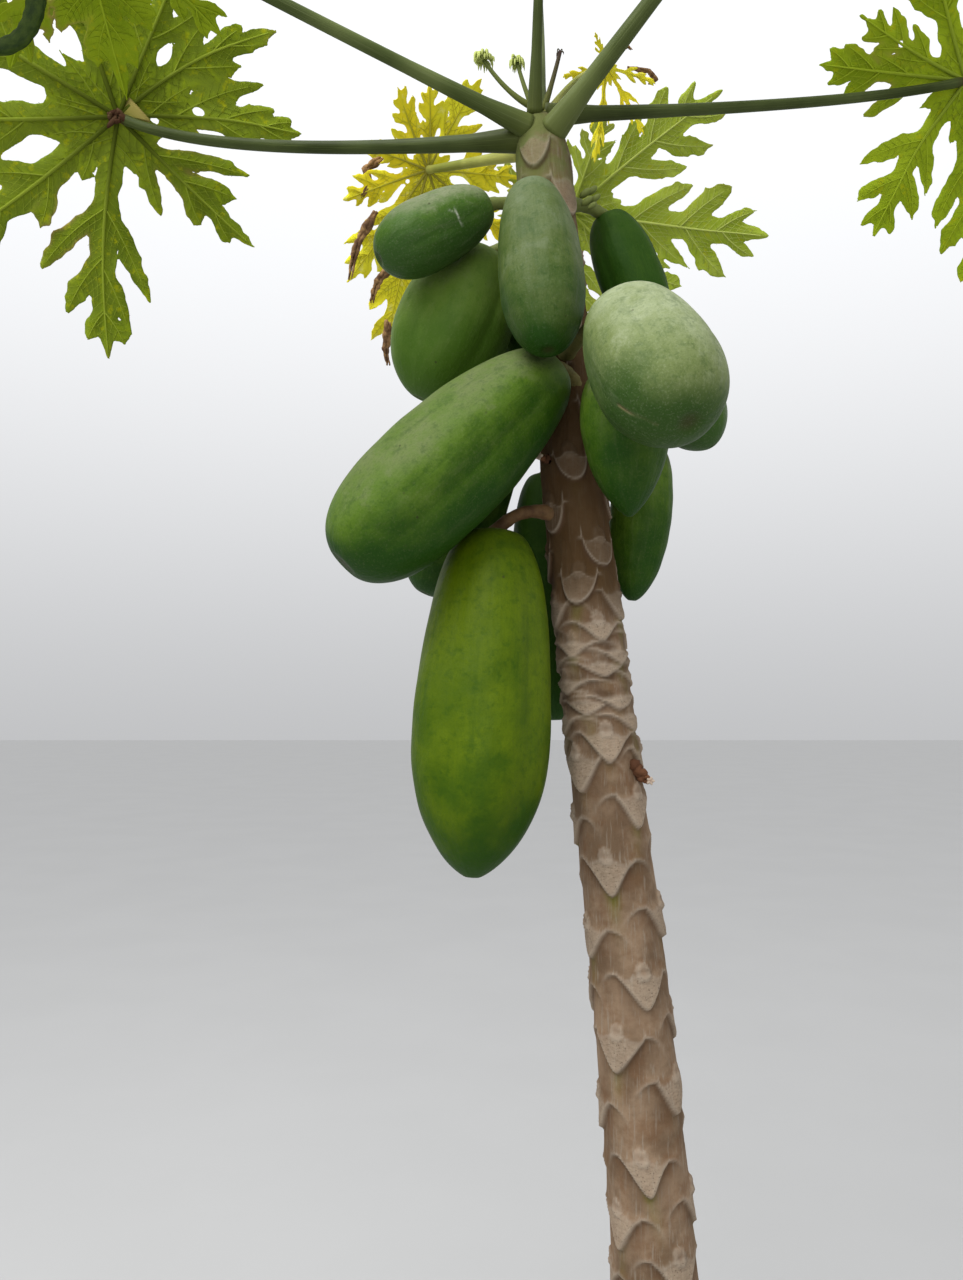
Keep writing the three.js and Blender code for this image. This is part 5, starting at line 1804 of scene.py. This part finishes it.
class PAPAYA_OT_stalks(bpy.types.Operator):
    """Make the leaf stalks"""

    bl_idname = "papaya.stalks"
    bl_label = "Leaf stalks"

    def execute(self, context):
        s = context.scene.papaya_stalk
        shaded = stalk_finish("shaded_stalk_skin", s.shaded_dark, s.shaded_light, s.stalk_light, s)
        sunlit = stalk_finish("leaf_stalk_skin", s.stalk_dark, s.stalk_light, s.stalk_streak, s)
        yellow = stalk_finish("yellow_stalk_skin", s.dying_dark, s.dying_light, s.stalk_streak, s)
        for name, leaf in LEAVES.items():
            finish = shaded if name in SHADED_STALKS else sunlit
            make_stalk(name, leaf, yellow if leaf["colour"] == "yellow" else finish)
        return {"FINISHED"}


class PAPAYA_OT_leaves(bpy.types.Operator):
    """Make the leaf blades with their ribs"""

    bl_idname = "papaya.leaves"
    bl_label = "Leaf blades"

    def execute(self, context):
        s = context.scene.papaya_leaf
        top = blade_finish(
            "leaf_upper_side", s.upper_deep, s.upper_bright, s.under_bright, s.vein, s.dry_light, 0.42, 0.25
        )
        under = blade_finish(
            "leaf_underside", s.under_deep, s.under_bright, s.under_fleck, s.vein, s.dry_light
        )
        lit = blade_finish(
            "lit_underside", s.lit_deep, s.lit_bright, s.under_fleck, s.lit_vein, s.dry_light
        )
        bright = blade_finish(
            "bright_underside", s.bright_deep, s.bright_light, s.under_fleck, s.vein, s.dry_light
        )
        dying = blade_finish(
            "yellow_side", s.yellow_deep, s.yellow_bright, s.yellow_fleck, s.yellow_vein, s.dry_dark
        )
        dying_top = blade_finish(
            "yellow_upper_side", s.yellow_top_deep, s.yellow_top_bright, s.yellow_vein, s.yellow_rib,
            s.dry_dark, 0.6, 0.1,
        )
        ribs = rib_finish("leaf_ribs", s.rib_root, s.rib_tip)
        looks = {
            "green": (top, under, ribs),
            "lit": (top, lit, rib_finish("lit_leaf_ribs", s.lit_rib_root, s.lit_rib_tip)),
            "fresh": (top, bright, rib_finish("fresh_leaf_ribs", s.under_bright, s.bright_light)),
            "bright": (top, bright, rib_finish("hanging_leaf_ribs", s.bright_deep, s.bright_light)),
            "yellow": (dying_top, dying, rib_finish("yellow_ribs", s.yellow_rib, s.yellow_vein)),
        }
        for name, leaf in LEAVES.items():
            make_blade(name, leaf, looks[leaf["colour"]])
        return {"FINISHED"}


class PAPAYA_OT_young(bpy.types.Operator):
    """Make the young growth at the stem's tip"""

    bl_idname = "papaya.young"
    bl_label = "Young growth"

    def execute(self, context):
        s = context.scene.papaya_stalk
        stalk = rib_finish("young_stalk_skin", s.stalk_foot, s.stalk_light)
        purple = rib_finish("purple_stalk_skin", s.stalk_foot, s.purple_stalk)
        leaf = rib_finish("young_leaf_skin", s.young_root, s.young_leaf)
        for name, young in YOUNG.items():
            bare = name == "bare_young_stalk"
            make_young(name, young, purple if bare else stalk, purple if bare else leaf)
        return {"FINISHED"}


class PAPAYA_OT_fruit(bpy.types.Operator):
    """Make the fruit and their stalks"""

    bl_idname = "papaya.fruit"
    bl_label = "Fruit"

    def execute(self, context):
        s = context.scene.papaya_fruit
        finishes = {
            "dark": fruit_finish("dark_fruit_skin", s.dark_low, s.dark_body, s.dark_top, 0.90, 0.45, s),
            "mid": fruit_finish("mid_fruit_skin", s.low, s.mid_body, s.mid_top, 0.85, 0.50, s),
            "shaded": fruit_finish("shaded_fruit_skin", s.low, s.shaded_body, s.dark_body, 0.40, 0.60, s),
            # A lighter copy of the fruit skin: painted light for the fruit behind.
            "soft": fruit_finish("soft_fruit_skin", s.dark_body, s.soft_body, s.soft_top, 0.80, 0.50, s),
            "blue": fruit_finish("bluish_fruit_skin", s.low, s.blue_body, s.blue_top, 0.90, 0.52, s),
            "pale": fruit_finish("pale_fruit_skin", s.pale_low, s.pale_body, s.pale_top, 0.95, 0.50, s),
            "ripe": fruit_finish("ripening_fruit_skin", s.ripe_low, s.ripe_body, s.ripe_top, 0.65, 0.50, s),
        }
        for number, (name, fruit) in enumerate(FRUITS.items()):
            make_fruit(name, fruit, finishes[fruit["finish"]], number + 1)
        make_fruit_stalks(s)
        return {"FINISHED"}


class PAPAYA_OT_details(bpy.types.Operator):
    """Make the withered tips, the curled lobe, the stubs, the buds and the left leaf's hub"""

    bl_idname = "papaya.details"
    bl_label = "Small details"

    def execute(self, context):
        leaf = context.scene.papaya_leaf
        make_withered(leaf)
        light = leaf.curl_light
        dark = blade_finish("curled_lobe_skin", leaf.curl_deep, light, light, light, leaf.dry_dark, 0.45, 0.10)
        make_curl(dark)
        make_hub(leaf, context.scene.papaya_stalk)
        make_stubs(context.scene.papaya_bark, context.scene.papaya_fruit)
        return {"FINISHED"}


class PAPAYA_PT_panel(bpy.types.Panel):
    """The papaya tree's steps in order"""

    bl_idname = "PAPAYA_PT_panel"
    bl_label = "Papaya Tree"
    bl_space_type = "VIEW_3D"
    bl_region_type = "UI"
    bl_category = "Papaya"

    def draw(self, context):
        for operator in STEPS:
            self.layout.operator(operator.bl_idname)


STEPS = (
    PAPAYA_OT_stage,
    PAPAYA_OT_trunk,
    PAPAYA_OT_stalks,
    PAPAYA_OT_leaves,
    PAPAYA_OT_young,
    PAPAYA_OT_fruit,
    PAPAYA_OT_details,
)
GROUPS = {
    "papaya_bark": BarkSettings,
    "papaya_stalk": StalkSettings,
    "papaya_leaf": LeafSettings,
    "papaya_fruit": FruitSettings,
    "papaya_stage": StageSettings,
}


def register():
    for group in GROUPS.values():
        bpy.utils.register_class(group)
    for operator in STEPS:
        bpy.utils.register_class(operator)
    bpy.utils.register_class(PAPAYA_PT_panel)
    for name, group in GROUPS.items():
        setattr(bpy.types.Scene, name, bpy.props.PointerProperty(type=group))


def unregister():
    for name in GROUPS:
        delattr(bpy.types.Scene, name)
    bpy.utils.unregister_class(PAPAYA_PT_panel)
    for operator in reversed(STEPS):
        bpy.utils.unregister_class(operator)
    for group in reversed(GROUPS.values()):
        bpy.utils.unregister_class(group)


def main():
    register()
    bpy.ops.papaya.stage()
    bpy.ops.papaya.trunk()
    bpy.ops.papaya.stalks()
    bpy.ops.papaya.leaves()
    bpy.ops.papaya.young()
    bpy.ops.papaya.fruit()
    bpy.ops.papaya.details()


if __name__ == "__main__":
    main()
